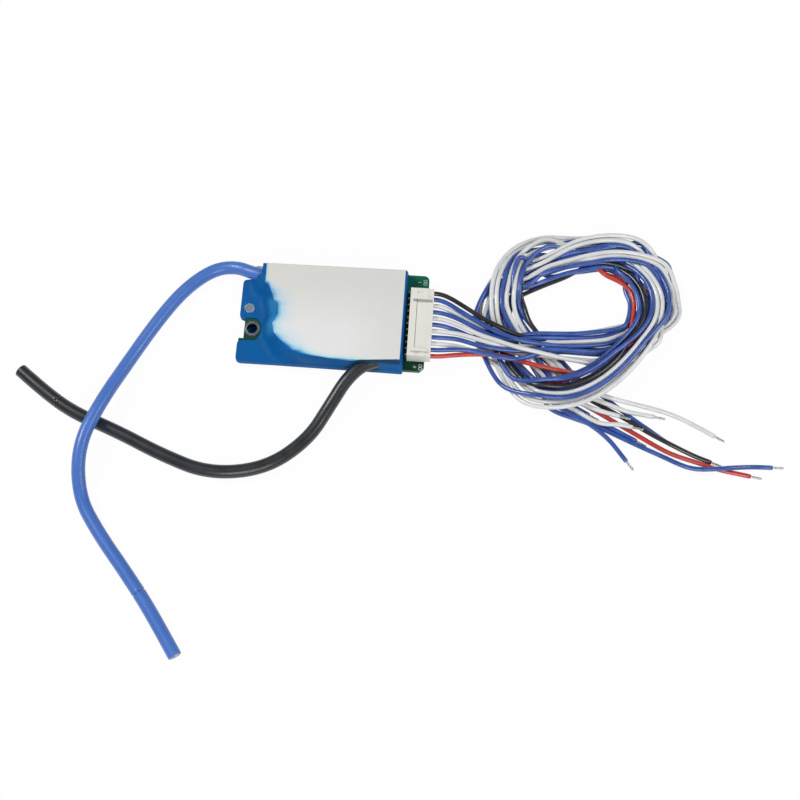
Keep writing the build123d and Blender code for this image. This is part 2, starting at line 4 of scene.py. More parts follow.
import bmesh
import bpy
import numpy as np
from mathutils import Euler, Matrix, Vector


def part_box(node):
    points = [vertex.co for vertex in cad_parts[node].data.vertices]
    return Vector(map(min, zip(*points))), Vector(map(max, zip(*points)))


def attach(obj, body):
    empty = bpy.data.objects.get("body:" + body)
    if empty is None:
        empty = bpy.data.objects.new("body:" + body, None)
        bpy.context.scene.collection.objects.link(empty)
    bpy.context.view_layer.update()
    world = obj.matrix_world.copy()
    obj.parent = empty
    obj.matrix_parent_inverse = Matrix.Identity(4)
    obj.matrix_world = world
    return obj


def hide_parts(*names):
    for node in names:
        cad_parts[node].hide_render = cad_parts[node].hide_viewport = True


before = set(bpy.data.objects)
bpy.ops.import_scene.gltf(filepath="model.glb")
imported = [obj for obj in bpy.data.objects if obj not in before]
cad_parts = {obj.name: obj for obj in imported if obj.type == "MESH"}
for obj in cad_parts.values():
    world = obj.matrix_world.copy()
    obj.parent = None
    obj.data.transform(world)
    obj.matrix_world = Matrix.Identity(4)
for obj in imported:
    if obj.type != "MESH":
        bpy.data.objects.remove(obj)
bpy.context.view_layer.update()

bl_info = {
    "name": "Battery management board",
    "version": (1, 0, 0),
    "blender": (4, 5, 0),
    "location": "View3D > Sidebar > Board",
    "description": "Builds the looks of the battery management board on its CAD frame",
    "category": "Object",
}

MM = 0.001
WIRE_COUNT = 11
WIRE_PITCH = 2.0
FIRST_WIRE_Y = 8.9
CRIMP_END = 25.5
PLUG_RIGHT = 28.85
PIN_Z = 5.35
WIRE_COLOURS = ("black", "blue", "white", "blue", "white", "blue", "white", "blue", "white", "blue", "red")

SECOND_TURN = 20
SECOND_TURN_SECTIONS = 14
COIL_WIRE = 2
WIRE_STEP = 0.9
WIRE_SIDES = 14
WIRE_GAP = 1.01
TIP_LENGTH = 3.2
TIP_RADIUS = 0.35
CABLE_STEP = 0.5
CABLE_SIDES = 40
SCORE_DEPTH = 0.2
# How the wound wires settle: range of the search, rounds between two searches, share of each
# push, fall in each round, evening along the wire, and the lowest that a wire's middle comes.
SETTLE_RANGE = 5.2
SETTLE_SEARCH = 8
SETTLE_PUSH = 1.3
SETTLE_FALL = 0.012
SETTLE_EVENING = 0.22
WIRE_LOWEST = 0.72
CAMERA_LENS = 71.73
CAMERA_PLACE = (0.031415, -0.184452, 0.443060)
CAMERA_TILT = 20.0
CAMERA_TURN = 3.8
FULL_TURN = 2 * np.pi
UP = (0.0, 0.0, 1.0)

# Route points of the power cables, in millimetres: part.py's own.
BLUE_ROUTE = (
    (-18.4, 11.0, 5.1), (-25.0, 11.9, 5.1), (-31.4, 15.1, 2.7), (-38.6, 14.0, 2.0), (-46.6, 6.8, 2.0),
    (-53.5, -4.0, 2.0), (-60.3, -17.3, 2.2), (-66.3, -32.6, 6.5), (-70.9, -46.0, 6.5), (-69.6, -60.0, 2.2),
    (-62.5, -70.4, 2.0), (-53.6, -81.0, 2.0), (-45.0, -91.8, 2.0), (-36.7, -104.1, 2.0),
)
BLACK_ROUTE = (
    (17.6, -12.7, 5.1), (11.4, -13.5, 5.1), (5.2, -18.9, 5.0), (0.4, -27.4, 2.3), (-5.2, -38.4, 2.0),
    (-16.8, -48.0, 2.0), (-33.0, -50.6, 2.0), (-47.5, -45.7, 2.0), (-61.5, -39.3, 2.0),
    (-74.5, -34.6, 2.0), (-84.0, -28.6, 2.0), (-92.1, -22.3, 2.0),
)
# Each sense wire's lead from the plug: part.py's points, with two wires moved aside a little.
LEAD_POINTS = {
    1: ((31.2, 8.9, 5.3), (36.8, 6.1, 5.4), (42.8, 2.4, 5.4)),
    2: ((31.2, 6.9, 5.3), (36.8, 3.9, 5.4), (42.8, 0.5, 5.4)),
    3: ((31.2, 4.9, 5.3), (36.6, 2.5, 4.1), (42.8, -0.8, 3.6)),
    4: ((31.2, 2.9, 5.3), (36.8, 1.3, 5.4), (42.8, -1.5, 5.4)),
    5: ((31.2, 0.9, 5.3), (36.8, -0.7, 5.4), (42.8, -3.2, 5.4)),
    6: ((31.2, -1.1, 5.3), (36.6, -2.1, 4.1), (42.8, -4.3, 3.6)),
    7: ((31.2, -3.1, 5.3), (36.8, -3.6, 5.4), (42.8, -5.1, 5.4)),
    8: ((31.2, -5.1, 5.3), (36.8, -5.3, 5.4), (42.8, -6.9, 5.4)),
    9: ((31.2, -7.1, 5.3), (36.6, -6.9, 4.1), (42.8, -7.9, 3.6)),
    10: ((31.2, -9.1, 5.3), (36.8, -8.6, 5.5), (43.0, -9.0, 5.6)),
    11: ((31.2, -11.1, 5.3), (36.8, -9.9, 4.9), (45.5, -8.7, 3.9)),
}
# Where each wire crosses the coil's open middle on its way in.
INNER_POINTS = {
    1: ((47.5, 0.0, 5.4), (53.5, -2.1, 4.4), (59.7, -3.6, 3.6), (67.3, -5.0, 2.2), (76.3, -4.4, 0.8),
        (82.9, -3.1, 0.75)),
    2: ((47.5, -2.0, 5.6), (53.6, -4.1, 5.6), (59.7, -4.8, 5.2), (67.2, -4.6, 3.6), (76.1, -3.1, 2.1),
        (83.7, -0.9, 0.9)),
    3: ((47.6, -1.9, 3.4), (53.6, -2.8, 2.5), (59.7, -2.7, 2.0), (70.2, -1.0, 0.8), (79.2, 1.0, 0.75),
        (86.3, 3.3, 0.75)),
    4: ((47.6, -3.5, 5.4), (53.6, -3.6, 4.6), (59.7, -2.7, 4.6), (70.2, -1.5, 2.2), (79.2, -0.3, 0.75),
        (85.2, 1.2, 0.75)),
    5: ((47.7, -4.8, 5.6), (53.7, -6.5, 5.6), (59.7, -7.3, 5.3), (65.8, -8.0, 4.5), (73.3, -8.1, 2.6),
        (79.4, -6.9, 0.9)),
    6: ((47.7, -2.6, 3.8), (53.7, -2.6, 3.6), (59.7, -1.9, 3.7), (70.2, -1.0, 2.2), (79.1, 0.6, 1.6),
        (85.1, 2.5, 0.9)),
    7: ((47.8, -6.4, 5.4), (53.8, -6.4, 4.2), (59.8, -5.2, 3.7), (68.8, -3.4, 1.9), (77.8, -1.8, 0.75),
        (84.0, -0.1, 0.75)),
    8: ((47.8, -7.6, 5.4), (53.8, -8.0, 4.6), (59.9, -7.3, 4.2), (67.4, -6.6, 3.2), (74.8, -5.8, 1.6),
        (81.4, -4.5, 0.75)),
    9: ((47.9, -6.3, 3.6), (53.9, -7.3, 3.2), (59.9, -7.2, 3.6), (67.5, -7.4, 2.6), (74.9, -6.9, 0.75),
        (80.5, -5.8, 0.75)),
    10: ((48.0, -9.9, 5.8), (53.8, -10.3, 5.4), (59.9, -7.2, 3.8), (67.4, -5.3, 2.4), (76.3, -4.8, 0.75),
         (82.3, -3.8, 0.75)),
    11: ((50.5, -9.0, 3.5), (55.4, -10.1, 3.8), (60.8, -11.3, 4.5), (66.9, -12.1, 4.0), (72.9, -11.6, 2.2),
         (78.4, -8.9, 0.8), (83.0, -4.9, 0.75), (87.4, -0.1, 0.75)),
}
# Each sense wire from the coil to its end: part.py's points, some of them moved a little.
TAIL_POINTS = {
    1: ((70.5, -16.9, 0.75), (78.5, -21.4, 0.75), (86.5, -25.4, 1.2), (93.5, -29.6, 2.2),
        (101.0, -33.2, 2.2), (107.5, -35.7, 1.2), (112.4, -37.2, 0.75)),
    2: ((64.0, -22.1, 0.75), (71.0, -25.0, 0.75), (80.0, -27.6, 0.75), (89.0, -31.8, 1.6),
        (98.5, -36.0, 2.2), (105.5, -39.0, 2.4), (111.0, -39.4, 2.4), (117.5, -38.7, 2.4),
        (124.0, -37.7, 0.75), (130.2, -37.6, 0.75)),
    3: ((73.0, -15.6, 2.3), (81.0, -18.9, 2.3), (90.5, -21.1, 2.3), (99.5, -22.6, 0.75),
        (107.0, -25.8, 0.75), (113.4, -29.1, 0.75)),
    4: ((73.5, -15.0, 0.75), (81.0, -19.5, 0.75), (87.5, -24.2, 0.75), (94.0, -28.4, 0.75),
        (98.0, -31.0, 0.75), (100.8, -32.6, 0.75)),
    5: ((71.5, -17.4, 2.3), (79.5, -20.7, 2.3), (87.5, -23.5, 2.2), (92.0, -23.8, 1.1),
        (95.8, -24.2, 0.75)),
    6: ((66.5, -21.0, 0.75), (73.0, -24.3, 0.75), (81.0, -27.3, 0.75), (86.8, -30.2, 0.75),
        (90.6, -32.1, 0.75)),
    7: ((70.0, -19.3, 2.3), (76.5, -22.7, 2.3), (81.5, -24.3, 2.3), (85.5, -25.2, 2.3)),
    8: ((68.0, -20.2, 0.9), (72.5, -22.8, 0.75), (76.6, -24.9, 0.75)),
    9: ((66.8, -21.0, 2.3), (73.0, -24.4, 2.3), (79.3, -27.7, 2.3), (85.0, -27.7, 2.3),
        (89.3, -28.4, 2.3)),
    10: ((65.0, -21.9, 2.3), (71.0, -25.1, 2.3), (77.3, -28.6, 2.3), (82.3, -32.1, 1.2),
         (85.2, -35.3, 0.75), (87.8, -38.5, 0.75)),
    11: ((69.0, -18.9, 0.75), (76.5, -22.9, 0.75), (84.5, -27.1, 0.75), (92.5, -31.4, 0.75),
         (100.0, -35.2, 0.75), (107.5, -37.3, 0.75), (114.5, -39.2, 0.75), (119.5, -40.0, 0.75),
         (123.8, -40.7, 0.75)),
}
# The coil's cross-sections, each from its inner to its outer edge, in the order that a wire passes them.
SECTIONS = (
    ("right_low", (85.6, -0.9), (99.4, -1.9)), ("right", (86.0, 5.0), (103.2, 6.1)),
    ("right_mid", (86.6, 11.3), (104.0, 13.4)), ("right_high", (84.4, 17.0), (104.0, 19.0)),
    ("upper_right", (80.4, 20.4), (101.5, 25.8)), ("top_right", (78.0, 21.3), (92.0, 32.6)),
    ("top", (74.0, 21.0), (80.7, 33.9)), ("top_mid", (68.0, 19.3), (70.7, 32.5)),
    ("top_left", (62.1, 16.2), (61.5, 33.0)), ("upper_left", (57.0, 13.2), (52.5, 27.6)),
    ("left_high", (54.4, 11.1), (46.5, 17.8)), ("left_mid", (56.1, 6.9), (41.6, 7.3)),
    ("left", (58.7, 2.2), (41.4, -0.6)), ("left_low", (62.7, -2.4), (42.6, -7.6)),
    ("lower_left", (61.7, -14.6), (49.4, -18.0)), ("bottom_left", (64.1, -15.7), (59.0, -23.6)),
    ("bottom", (69.9, -14.1), (70.8, -23.8)), ("bottom_right", (76.3, -10.5), (80.7, -19.0)),
    ("low_right", (81.6, -5.3), (88.8, -11.5)),
)
CORNER = ("corner", (68.6, -9.0), (58.5, -15.5))
# Places of the wires in the key sections: height, then {wire: distance from the inner edge}.
# A wire on its second turn has SECOND_TURN added to its number.
LANES = {
    "right_low": (
        (0.8, {6: 0.3, 4: 1.8, 3: 3.3, 7: 4.8, 2: 6.3, 1: 7.8, 10: 9.3, 8: 10.6, 9: 11.9, 5: 13.2}),
        (2.2, {11: 2.0, 31: 3.9, 22: 5.4, 28: 6.9, 29: 8.5}),
        (3.6, {24: 0.9, 21: 2.5, 26: 3.9, 23: 5.6, 30: 7.1, 25: 8.6}),
    ),
    "right": (
        (0.8, {6: 0.8, 11: 2.6, 4: 4.3, 3: 5.8, 7: 7.2, 31: 8.6, 1: 10.0, 10: 11.4, 9: 12.8, 5: 14.2}),
        (2.2, {22: 5.0, 28: 6.5, 2: 8.0, 29: 9.4, 27: 10.8, 8: 12.2}),
        (3.5, {24: 4.6, 21: 6.2, 26: 7.7, 23: 9.3, 25: 10.7, 30: 12.1}),
    ),
    "right_high": (
        (0.8, {6: 0.8, 11: 2.6, 31: 7.0, 3: 8.6, 7: 10.2, 2: 11.8, 1: 13.2, 10: 14.6}),
        (2.2, {22: 4.2, 28: 5.7, 4: 7.2, 29: 8.7, 27: 10.2, 8: 12.4, 9: 14.2, 5: 16.0}),
        (3.5, {24: 3.0, 21: 5.2, 26: 7.4, 23: 9.3, 25: 10.8, 30: 12.3}),
    ),
    "upper_right": (
        (0.8, {31: 2.0, 22: 4.0, 6: 9.5, 3: 14.4, 7: 16.0, 2: 17.8, 4: 6.5, 1: 8.0, 10: 19.2, 11: 0.6}),
        (2.2, {24: 3.0, 21: 5.0, 26: 7.0, 28: 8.8, 29: 10.5, 27: 12.2, 30: 13.9}),
        (3.5, {23: 9.4, 25: 11.0, 8: 12.6, 9: 15.0, 5: 17.0}),
    ),
    "top_right": (
        (0.8, {31: 1.2, 22: 2.7, 21: 4.2, 26: 5.7, 24: 7.2, 23: 8.7, 25: 10.2, 28: 11.7, 27: 13.2,
              29: 14.7}),
        (2.2, {11: 1.0, 4: 2.5, 1: 4.0, 30: 15.4, 10: 12.0, 2: 13.8}),
        (3.5, {8: 5.0, 9: 7.0, 5: 9.2, 6: 11.6, 3: 13.2, 7: 15.2}),
    ),
    "top": (
        (0.8, {22: 0.8, 21: 2.3, 11: 3.8, 30: 5.3, 24: 6.8, 23: 8.3, 25: 9.7, 27: 11.0, 29: 12.2}),
        (2.1, {4: 0.9, 1: 2.5, 26: 4.0, 31: 5.5, 10: 8.7, 28: 11.2}),
        (3.4, {8: 1.9, 9: 3.6, 5: 5.4, 2: 7.0, 6: 8.5, 3: 10.4, 7: 12.3}),
    ),
    "top_mid": (
        (0.8, {22: 0.8, 1: 0.2, 11: 3.8, 30: 6.8, 31: 5.3, 24: 8.0, 25: 9.3, 27: 10.6, 29: 11.8}),
        (2.1, {4: 0.9, 26: 2.5, 9: 3.9, 21: 5.4, 10: 6.9, 23: 9.8, 28: 11.7}),
        (3.4, {8: 1.9, 5: 3.8, 6: 5.2, 2: 6.6, 3: 8.1, 7: 10.1}),
    ),
    "top_left": (
        (0.8, {1: 0.5, 22: 2.0, 11: 4.0, 31: 5.5, 21: 7.0, 30: 8.5, 26: 10.0, 28: 11.8, 27: 13.2,
              29: 14.5}),
        (2.1, {4: 1.2, 9: 3.6, 6: 5.1, 2: 6.6, 10: 8.1, 23: 10.8, 25: 13.8}),
        (3.4, {8: 2.5, 5: 4.3, 3: 6.0, 7: 7.5, 24: 12.0}),
    ),
    "upper_left": (
        (0.8, {1: 0.6, 4: 2.1, 8: 3.6, 9: 5.1, 11: 6.6, 31: 8.1, 26: 9.6, 10: 11.0, 27: 12.6, 29: 14.0}),
        (2.1, {6: 1.4, 5: 3.9, 2: 5.4, 3: 6.9, 7: 8.4, 30: 9.9, 25: 11.2, 28: 12.4}),
        (3.4, {21: 7.6, 23: 9.6}),
        (4.2, {24: 8.0, 22: 10.8}),
    ),
    "left_high": (
        (0.8, {1: 0.6, 9: 2.1, 8: 3.6, 31: 5.1, 11: 6.6, 5: 8.1, 7: 9.6}),
        (2.1, {6: 5.9, 3: 9.9, 10: 8.6, 2: 7.3, 30: 4.5, 4: 3.0, 26: 1.4}),
        (3.4, {21: 1.0, 22: 2.5, 28: 6.0, 25: 4.4, 27: 7.6, 29: 9.4}),
        (4.7, {24: 1.6, 23: 3.2}),
    ),
    "left_mid": (
        (0.8, {26: 1.0, 22: 2.5, 4: 4.0, 31: 5.5, 11: 7.0, 8: 8.5, 9: 10.0, 5: 11.4, 3: 12.8, 2: 14.0}),
        (2.1, {24: 2.4, 1: 3.9, 21: 1.0, 30: 6.9, 6: 9.6, 7: 11.2, 10: 12.9}),
        (3.4, {23: 3.8, 25: 5.3, 28: 6.6, 27: 8.0, 29: 9.8}),
    ),
    "left": (
        (0.8, {24: 0.9, 22: 2.4, 26: 3.9, 31: 5.4, 11: 6.9, 4: 8.4, 8: 9.9, 9: 11.4, 5: 12.9,
              3: 14.4, 2: 15.9}),
        (2.1, {21: 1.8, 23: 3.4, 25: 4.9, 28: 6.4, 30: 7.8, 27: 9.4, 29: 11.1, 1: 12.6, 6: 14.0, 7: 15.4,
               10: 16.8}),
    ),
    "left_low": (
        (0.8, {24: 1.0, 22: 2.8, 26: 4.6, 31: 6.4, 11: 11.6, 8: 13.1, 9: 14.6, 5: 16.1, 2: 17.6, 3: 19.1}),
        (2.1, {21: 1.8, 23: 3.4, 25: 4.9, 28: 6.5, 30: 8.0, 27: 9.5, 29: 11.0, 4: 12.6, 1: 14.1, 6: 15.6,
               7: 17.1, 10: 18.6}),
    ),
    "corner": (
        (0.8, {24: 0.8, 21: 2.3, 31: 3.8, 26: 5.6, 22: 7.4}),
        (2.3, {23: 1.6, 25: 3.1, 27: 4.6, 28: 6.1, 29: 7.6, 30: 9.1}),
    ),
    "lower_left": (
        (1.0, {11: 1.4, 8: 3.0, 2: 4.6, 7: 6.2, 9: 7.8, 5: 9.6, 10: 11.4}),
        (2.5, {4: 2.2, 3: 3.8, 1: 5.6, 6: 8.6}),
    ),
    "bottom_left": (
        (3.7, {11: 1.2, 8: 2.7, 2: 4.2, 7: 5.8, 9: 7.6, 5: 9.4}),
        (5.1, {4: 1.0, 1: 3.0, 3: 4.6, 6: 2.0, 10: 6.6}),
    ),
    "bottom": (
        (3.7, {11: 1.0, 8: 2.5, 2: 4.0, 7: 5.7, 9: 7.8}),
        (5.1, {4: 0.8, 6: 2.3, 1: 3.9, 3: 5.5, 10: 7.4, 5: 9.4}),
    ),
    "low_right": (
        (2.6, {11: 1.0, 8: 2.5, 2: 4.0, 7: 5.6, 9: 7.2}),
        (4.0, {4: 0.9, 6: 2.4, 1: 3.8, 3: 5.3, 10: 6.8, 5: 8.4}),
    ),
}


class Shade:
    """A socket with arithmetic: numbers and other sockets may stand on either side."""

    def __init__(self, finish, socket):
        self.finish = finish
        self.socket = socket

    def __add__(self, other):
        return self.finish.maths("ADD", self, other)

    __radd__ = __add__

    def __sub__(self, other):
        return self.finish.maths("SUBTRACT", self, other)

    def __rsub__(self, other):
        return self.finish.maths("SUBTRACT", other, self)

    def __mul__(self, other):
        return self.finish.maths("MULTIPLY", self, other)

    __rmul__ = __mul__

    def __truediv__(self, other):
        return self.finish.maths("DIVIDE", self, other)

    def __pow__(self, other):
        return self.finish.maths("POWER", self, other)


class Finish:
    """A node material with one shiny surface shader, built from Python expressions."""

    def __init__(self, name, base, roughness, **constants):
        self.material = bpy.data.materials.new(name)
        self.material.use_nodes = True
        self.nodes = self.material.node_tree.nodes
        self.links = self.material.node_tree.links
        self.nodes.clear()
        self.out = self.nodes.new("ShaderNodeOutputMaterial")
        self.surface = self.nodes.new("ShaderNodeBsdfPrincipled")
        self.links.new(self.surface.outputs[0], self.out.inputs[0])
        self.surface.inputs["Base Color"].default_value = (*base, 1.0)
        self.surface.inputs["Roughness"].default_value = roughness
        for key, value in constants.items():
            self.surface.inputs[key.replace("_", " ").title().replace("Ior", "IOR")].default_value = value

    def node(self, kind, settings, values, output=0):
        """Adds any node: its settings first, then the values or links of its sockets."""
        node = self.nodes.new(kind)
        for key, value in settings.items():
            if key == "stops":
                ramp = node.color_ramp
                while len(ramp.elements) < len(value):
                    ramp.elements.new(0.5)
                for element, (place, colour) in zip(ramp.elements, value):
                    element.position = place
                    element.color = (*colour, 1.0)
            else:
                setattr(node, key, value)
        for key, value in values.items():
            if isinstance(value, Shade):
                self.links.new(value.socket, node.inputs[key])
            elif isinstance(value, tuple) and len(value) == 3 and len(node.inputs[key].default_value) == 4:
                node.inputs[key].default_value = (*value, 1.0)
            else:
                node.inputs[key].default_value = value
        return Shade(self, node.outputs[output])

    def maths(self, operation, *values):
        """One arithmetic step on sockets and numbers."""
        return self.node("ShaderNodeMath", {"operation": operation}, dict(enumerate(values)))

    def place(self):
        """Object coordinates."""
        return self.node("ShaderNodeTexCoord", {}, {}, "Object")

    def stretched(self, scale, place=None):
        """Coordinates scaled along each axis."""
        return self.node("ShaderNodeMapping", {}, {"Vector": place or self.place(), "Scale": scale})

    def noise(self, scale, detail=3.0, place=None):
        return self.node("ShaderNodeTexNoise", {}, {"Vector": place or self.place(), "Scale": scale,
                                                    "Detail": detail})

    def blend(self, factor, low, high):
        """A colour mix of two colours by a factor."""
        return self.node("ShaderNodeMix", {"data_type": "RGBA"}, {0: factor, 6: low, 7: high}, 2)

    def ramp(self, factor, *stops):
        return self.node("ShaderNodeValToRGB", {"stops": stops}, {0: factor})

    def ranged(self, value, low, high, to_low=0.0, to_high=1.0):
        """A clamped smooth step of a value from one range to another."""
        return self.node("ShaderNodeMapRange", {"interpolation_type": "SMOOTHSTEP"},
                         {0: value, 1: low, 2: high, 3: to_low, 4: to_high})

    def within(self, value, rise, fall):
        """1 between two smooth steps, each given as (from, to), and 0 outside them."""
        return self.ranged(value, *rise) * self.ranged(value, *fall, 1.0, 0.0)

    def parts(self, vector):
        node = self.nodes.new("ShaderNodeSeparateXYZ")
        self.links.new(vector.socket, node.inputs[0])
        return [Shade(self, output) for output in node.outputs]

    def attribute(self, name):
        return self.node("ShaderNodeAttribute", {"attribute_name": name}, {}, "Fac")

    def set(self, key, value):
        self.links.new(value.socket, self.surface.inputs[key])
        return self

    def roughen(self, scale, low, high, detail=3.0):
        """Roughness that drifts between two values, by noise."""
        return self.set("Roughness", self.ranged(self.noise(scale, detail), 0.3, 0.7, low, high))

    def bump(self, height, distance, strength=1.0):
        """Bump of a height by a distance in metres, fed to the shader's normal."""
        normal = self.node("ShaderNodeBump", {}, {"Height": height, "Distance": distance,
                                                  "Strength": strength})
        return self.set("Normal", normal)


def dress(obj, finish):
    """Gives an object one material in every slot."""
    obj.data.materials.clear()
    obj.data.materials.append(finish.material)


def dress_node(name, finish):
    """Puts a material on a CAD node's own slots."""
    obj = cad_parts[name]
    if not obj.material_slots:
        obj.data.materials.append(finish.material)
    for slot in obj.material_slots:
        slot.material = finish.material


def make_piece(name, points, faces, finish, uv=None, smooth=True, attributes=None):
    """A mesh object from points in millimetres and faces, which are rows of point numbers."""
    mesh = bpy.data.meshes.new(name)
    faces = faces if isinstance(faces, list) else faces.tolist()
    mesh.from_pydata((np.asarray(points) * MM).tolist(), [], faces)
    mesh.update()
    if uv is not None:
        corner = np.zeros(len(mesh.loops), dtype=np.int32)
        mesh.loops.foreach_get("vertex_index", corner)
        layer = mesh.uv_layers.new(name="UVMap")
        layer.data.foreach_set("uv", np.asarray(uv, dtype=np.float32)[corner].ravel())
    for key, values in (attributes or {}).items():
        layer = mesh.attributes.new(key, "FLOAT", "POINT")
        layer.data.foreach_set("value", np.asarray(values, dtype=np.float32).ravel())
    mesh.polygons.foreach_set("use_smooth", np.full(len(mesh.polygons), smooth))
    obj = bpy.data.objects.new(name, mesh)
    bpy.context.scene.collection.objects.link(obj)
    dress(obj, finish)
    return obj


def fitted(piece, slot, *nodes):
    """Puts a piece on the board's body, in place of the CAD nodes named; its slot is not used."""
    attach(piece, "root")
    if nodes:
        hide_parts(*nodes)
    return piece


@contextlib.contextmanager
def edited(mesh):
    """A mesh opened as an editable one and written back afterwards."""
    work = bmesh.new()
    work.from_mesh(mesh)
    yield work
    work.to_mesh(mesh)
    work.free()


def mesh_points(mesh):
    """The places of a mesh's points, one row each."""
    places = np.zeros(len(mesh.vertices) * 3)
    mesh.vertices.foreach_get("co", places)
    return places.reshape(-1, 3)


def grid_faces(rows, columns, close_columns=False):
    """Quads of a grid of rows by columns; the last column may join the first."""
    across = columns if close_columns else columns - 1
    r, c = np.meshgrid(np.arange(rows - 1), np.arange(across), indexing="ij")
    n = (c + 1) % columns
    quads = np.stack([r * columns + c, r * columns + n, (r + 1) * columns + n, (r + 1) * columns + c], -1)
    return quads.reshape(-1, 4)


def spline_points(name, points, resolution):
    """Points in millimetres along the NURBS line that has the given control points, in millimetres."""
    curve = bpy.data.curves.new(name + "_line", "CURVE")
    curve.dimensions = "3D"
    spline = curve.splines.new("NURBS")
    spline.points.add(len(points) - 1)
    flat = np.c_[np.asarray(points, float) * MM, np.ones(len(points))]
    spline.points.foreach_set("co", flat.ravel())
    spline.order_u = 3
    spline.use_endpoint_u = True
    spline.resolution_u = resolution
    carrier = bpy.data.objects.new(name + "_line", curve)
    mesh = bpy.data.meshes.new_from_object(carrier)
    line = mesh_points(mesh) / MM
    bpy.data.objects.remove(carrier)
    bpy.data.curves.remove(curve)
    bpy.data.meshes.remove(mesh)
    return line[np.r_[True, np.linalg.norm(np.diff(line, axis=0), axis=1) > 1e-5]]


def distances(line):
    """The distance of each of a line's points from its start, along the line."""
    return np.r_[0.0, np.cumsum(np.linalg.norm(np.diff(line, axis=0), axis=1))]


def picked(line, marks):
    """The places on a line at the given distances from its start."""
    reach = distances(line)
    return np.stack([np.interp(marks, reach, values) for values in line.T], 1)


def resampled(line, step):
    """Points a step apart along a line, and their distances from its start."""
    length = distances(line)[-1]
    marks = np.linspace(0, length, max(3, int(round(length / step)) + 1))
    return picked(line, marks), marks


def tube_piece(name, line, radii, sides, finish):
    """A round tube: at each point of the line a circle of the given radius stands across the line.

    The circle's first axis is level and across the line, the second is square to both. A fan of
    triangles closes each end.
    """
    ahead = np.gradient(line, axis=0)
    ahead /= np.linalg.norm(ahead, axis=1)[:, None]
    side = np.cross(ahead, UP)
    side /= np.linalg.norm(side, axis=1)[:, None]
    above = np.cross(side, ahead)
    turn = np.linspace(0, FULL_TURN, sides, endpoint=False)
    ring = np.cos(turn)[None, :, None] * side[:, None] + np.sin(turn)[None, :, None] * above[:, None]
    rings = line[:, None] + ring * np.asarray(radii)[:, None, None]
    points = np.concatenate([rings.reshape(-1, 3), line[:1], line[-1:]])
    reach = distances(line) / 10
    uv = np.stack(np.broadcast_arrays(turn[None] / FULL_TURN, reach[:, None]), -1).reshape(-1, 2)
    uv = np.concatenate([uv, [[0.5, reach[0]], [0.5, reach[-1]]]])
    count = len(line)
    quads = grid_faces(count, sides, close_columns=True)[:, ::-1]
    here = np.arange(sides)
    after = (here + 1) % sides
    first = np.stack([here, after, np.full(sides, count * sides)], 1)
    last = np.stack([after, here, np.full(sides, sides + 1)], 1) + (count - 1) * sides
    return make_piece(name, points, quads.tolist() + first.tolist() + last.tolist(), finish, uv)


def lane_point(section, distance, height):
    """A point a distance along a section from its inner edge, at a height."""
    inner, outer = np.array(section[1]), np.array(section[2])
    run = (outer - inner) / np.linalg.norm(outer - inner)
    return np.r_[inner + run * distance, height]


def lane_places(code):
    """(distance, height) of a wire's turn in every section, between the key sections by their order."""
    names = [s[0] for s in SECTIONS]
    known = {}
    for index, name in enumerate(names):
        for height, lane in LANES.get(name, ()):
            if code in lane:
                known[index] = (lane[code], height)
    keys = sorted(known)
    spread = np.array([known[k] for k in keys])
    everywhere = np.arange(len(names))
    return np.stack([np.interp(everywhere, keys, spread[:, k]) for k in range(2)], 1)


def plug_point(wire, x):
    """Where a wire's middle passes a plane across the plug."""
    return x, FIRST_WIRE_Y - WIRE_PITCH * (wire - 1), PIN_Z


def wire_control_points(wire):
    """The control points of one wire: lead, crossing, first turn, second turn, corner and tail."""
    again = wire + SECOND_TURN
    first, second = lane_places(wire), lane_places(again)
    turns = [lane_point(s, *first[k]) for k, s in enumerate(SECTIONS)][1:]
    turns += [lane_point(s, *second[k]) for k, s in enumerate(SECTIONS[:SECOND_TURN_SECTIONS])]
    turns += [lane_point(CORNER, lane[again], height) for height, lane in LANES["corner"] if again in lane]
    return np.array([plug_point(wire, CRIMP_END), *LEAD_POINTS[wire], *INNER_POINTS[wire], *turns,
                     *TAIL_POINTS[wire]], float)


def halved(points):
    """The points with one more between each two, on the cubic through four neighbours."""
    padded = np.concatenate([2 * points[:1] - points[1:2], points, 2 * points[-1:] - points[-2:-1]])
    middle = (9 * (padded[1:-2] + padded[2:-1]) - padded[:-3] - padded[3:]) / 16
    out = np.empty((2 * len(points) - 1, 3))
    out[::2] = points
    out[1::2] = middle
    return out


def closest(p, q, r, s):
    """Shares along the segments p-q and r-s where they come nearest to each other."""
    d1, d2, w = q - p, s - r, p - r
    a, e, f = (d1 * d1).sum(1), (d2 * d2).sum(1), (d2 * w).sum(1)
    b, c = (d1 * d2).sum(1), (d1 * w).sum(1)
    spread = np.maximum(a * e - b * b, 1e-9)
    t1 = np.clip((b * f - c * e) / spread, 0, 1)
    t2 = np.clip((b * t1 + f) / np.maximum(e, 1e-9), 0, 1)
    t1 = np.clip((b * t2 - c) / np.maximum(a, 1e-9), 0, 1)
    return t1, t2


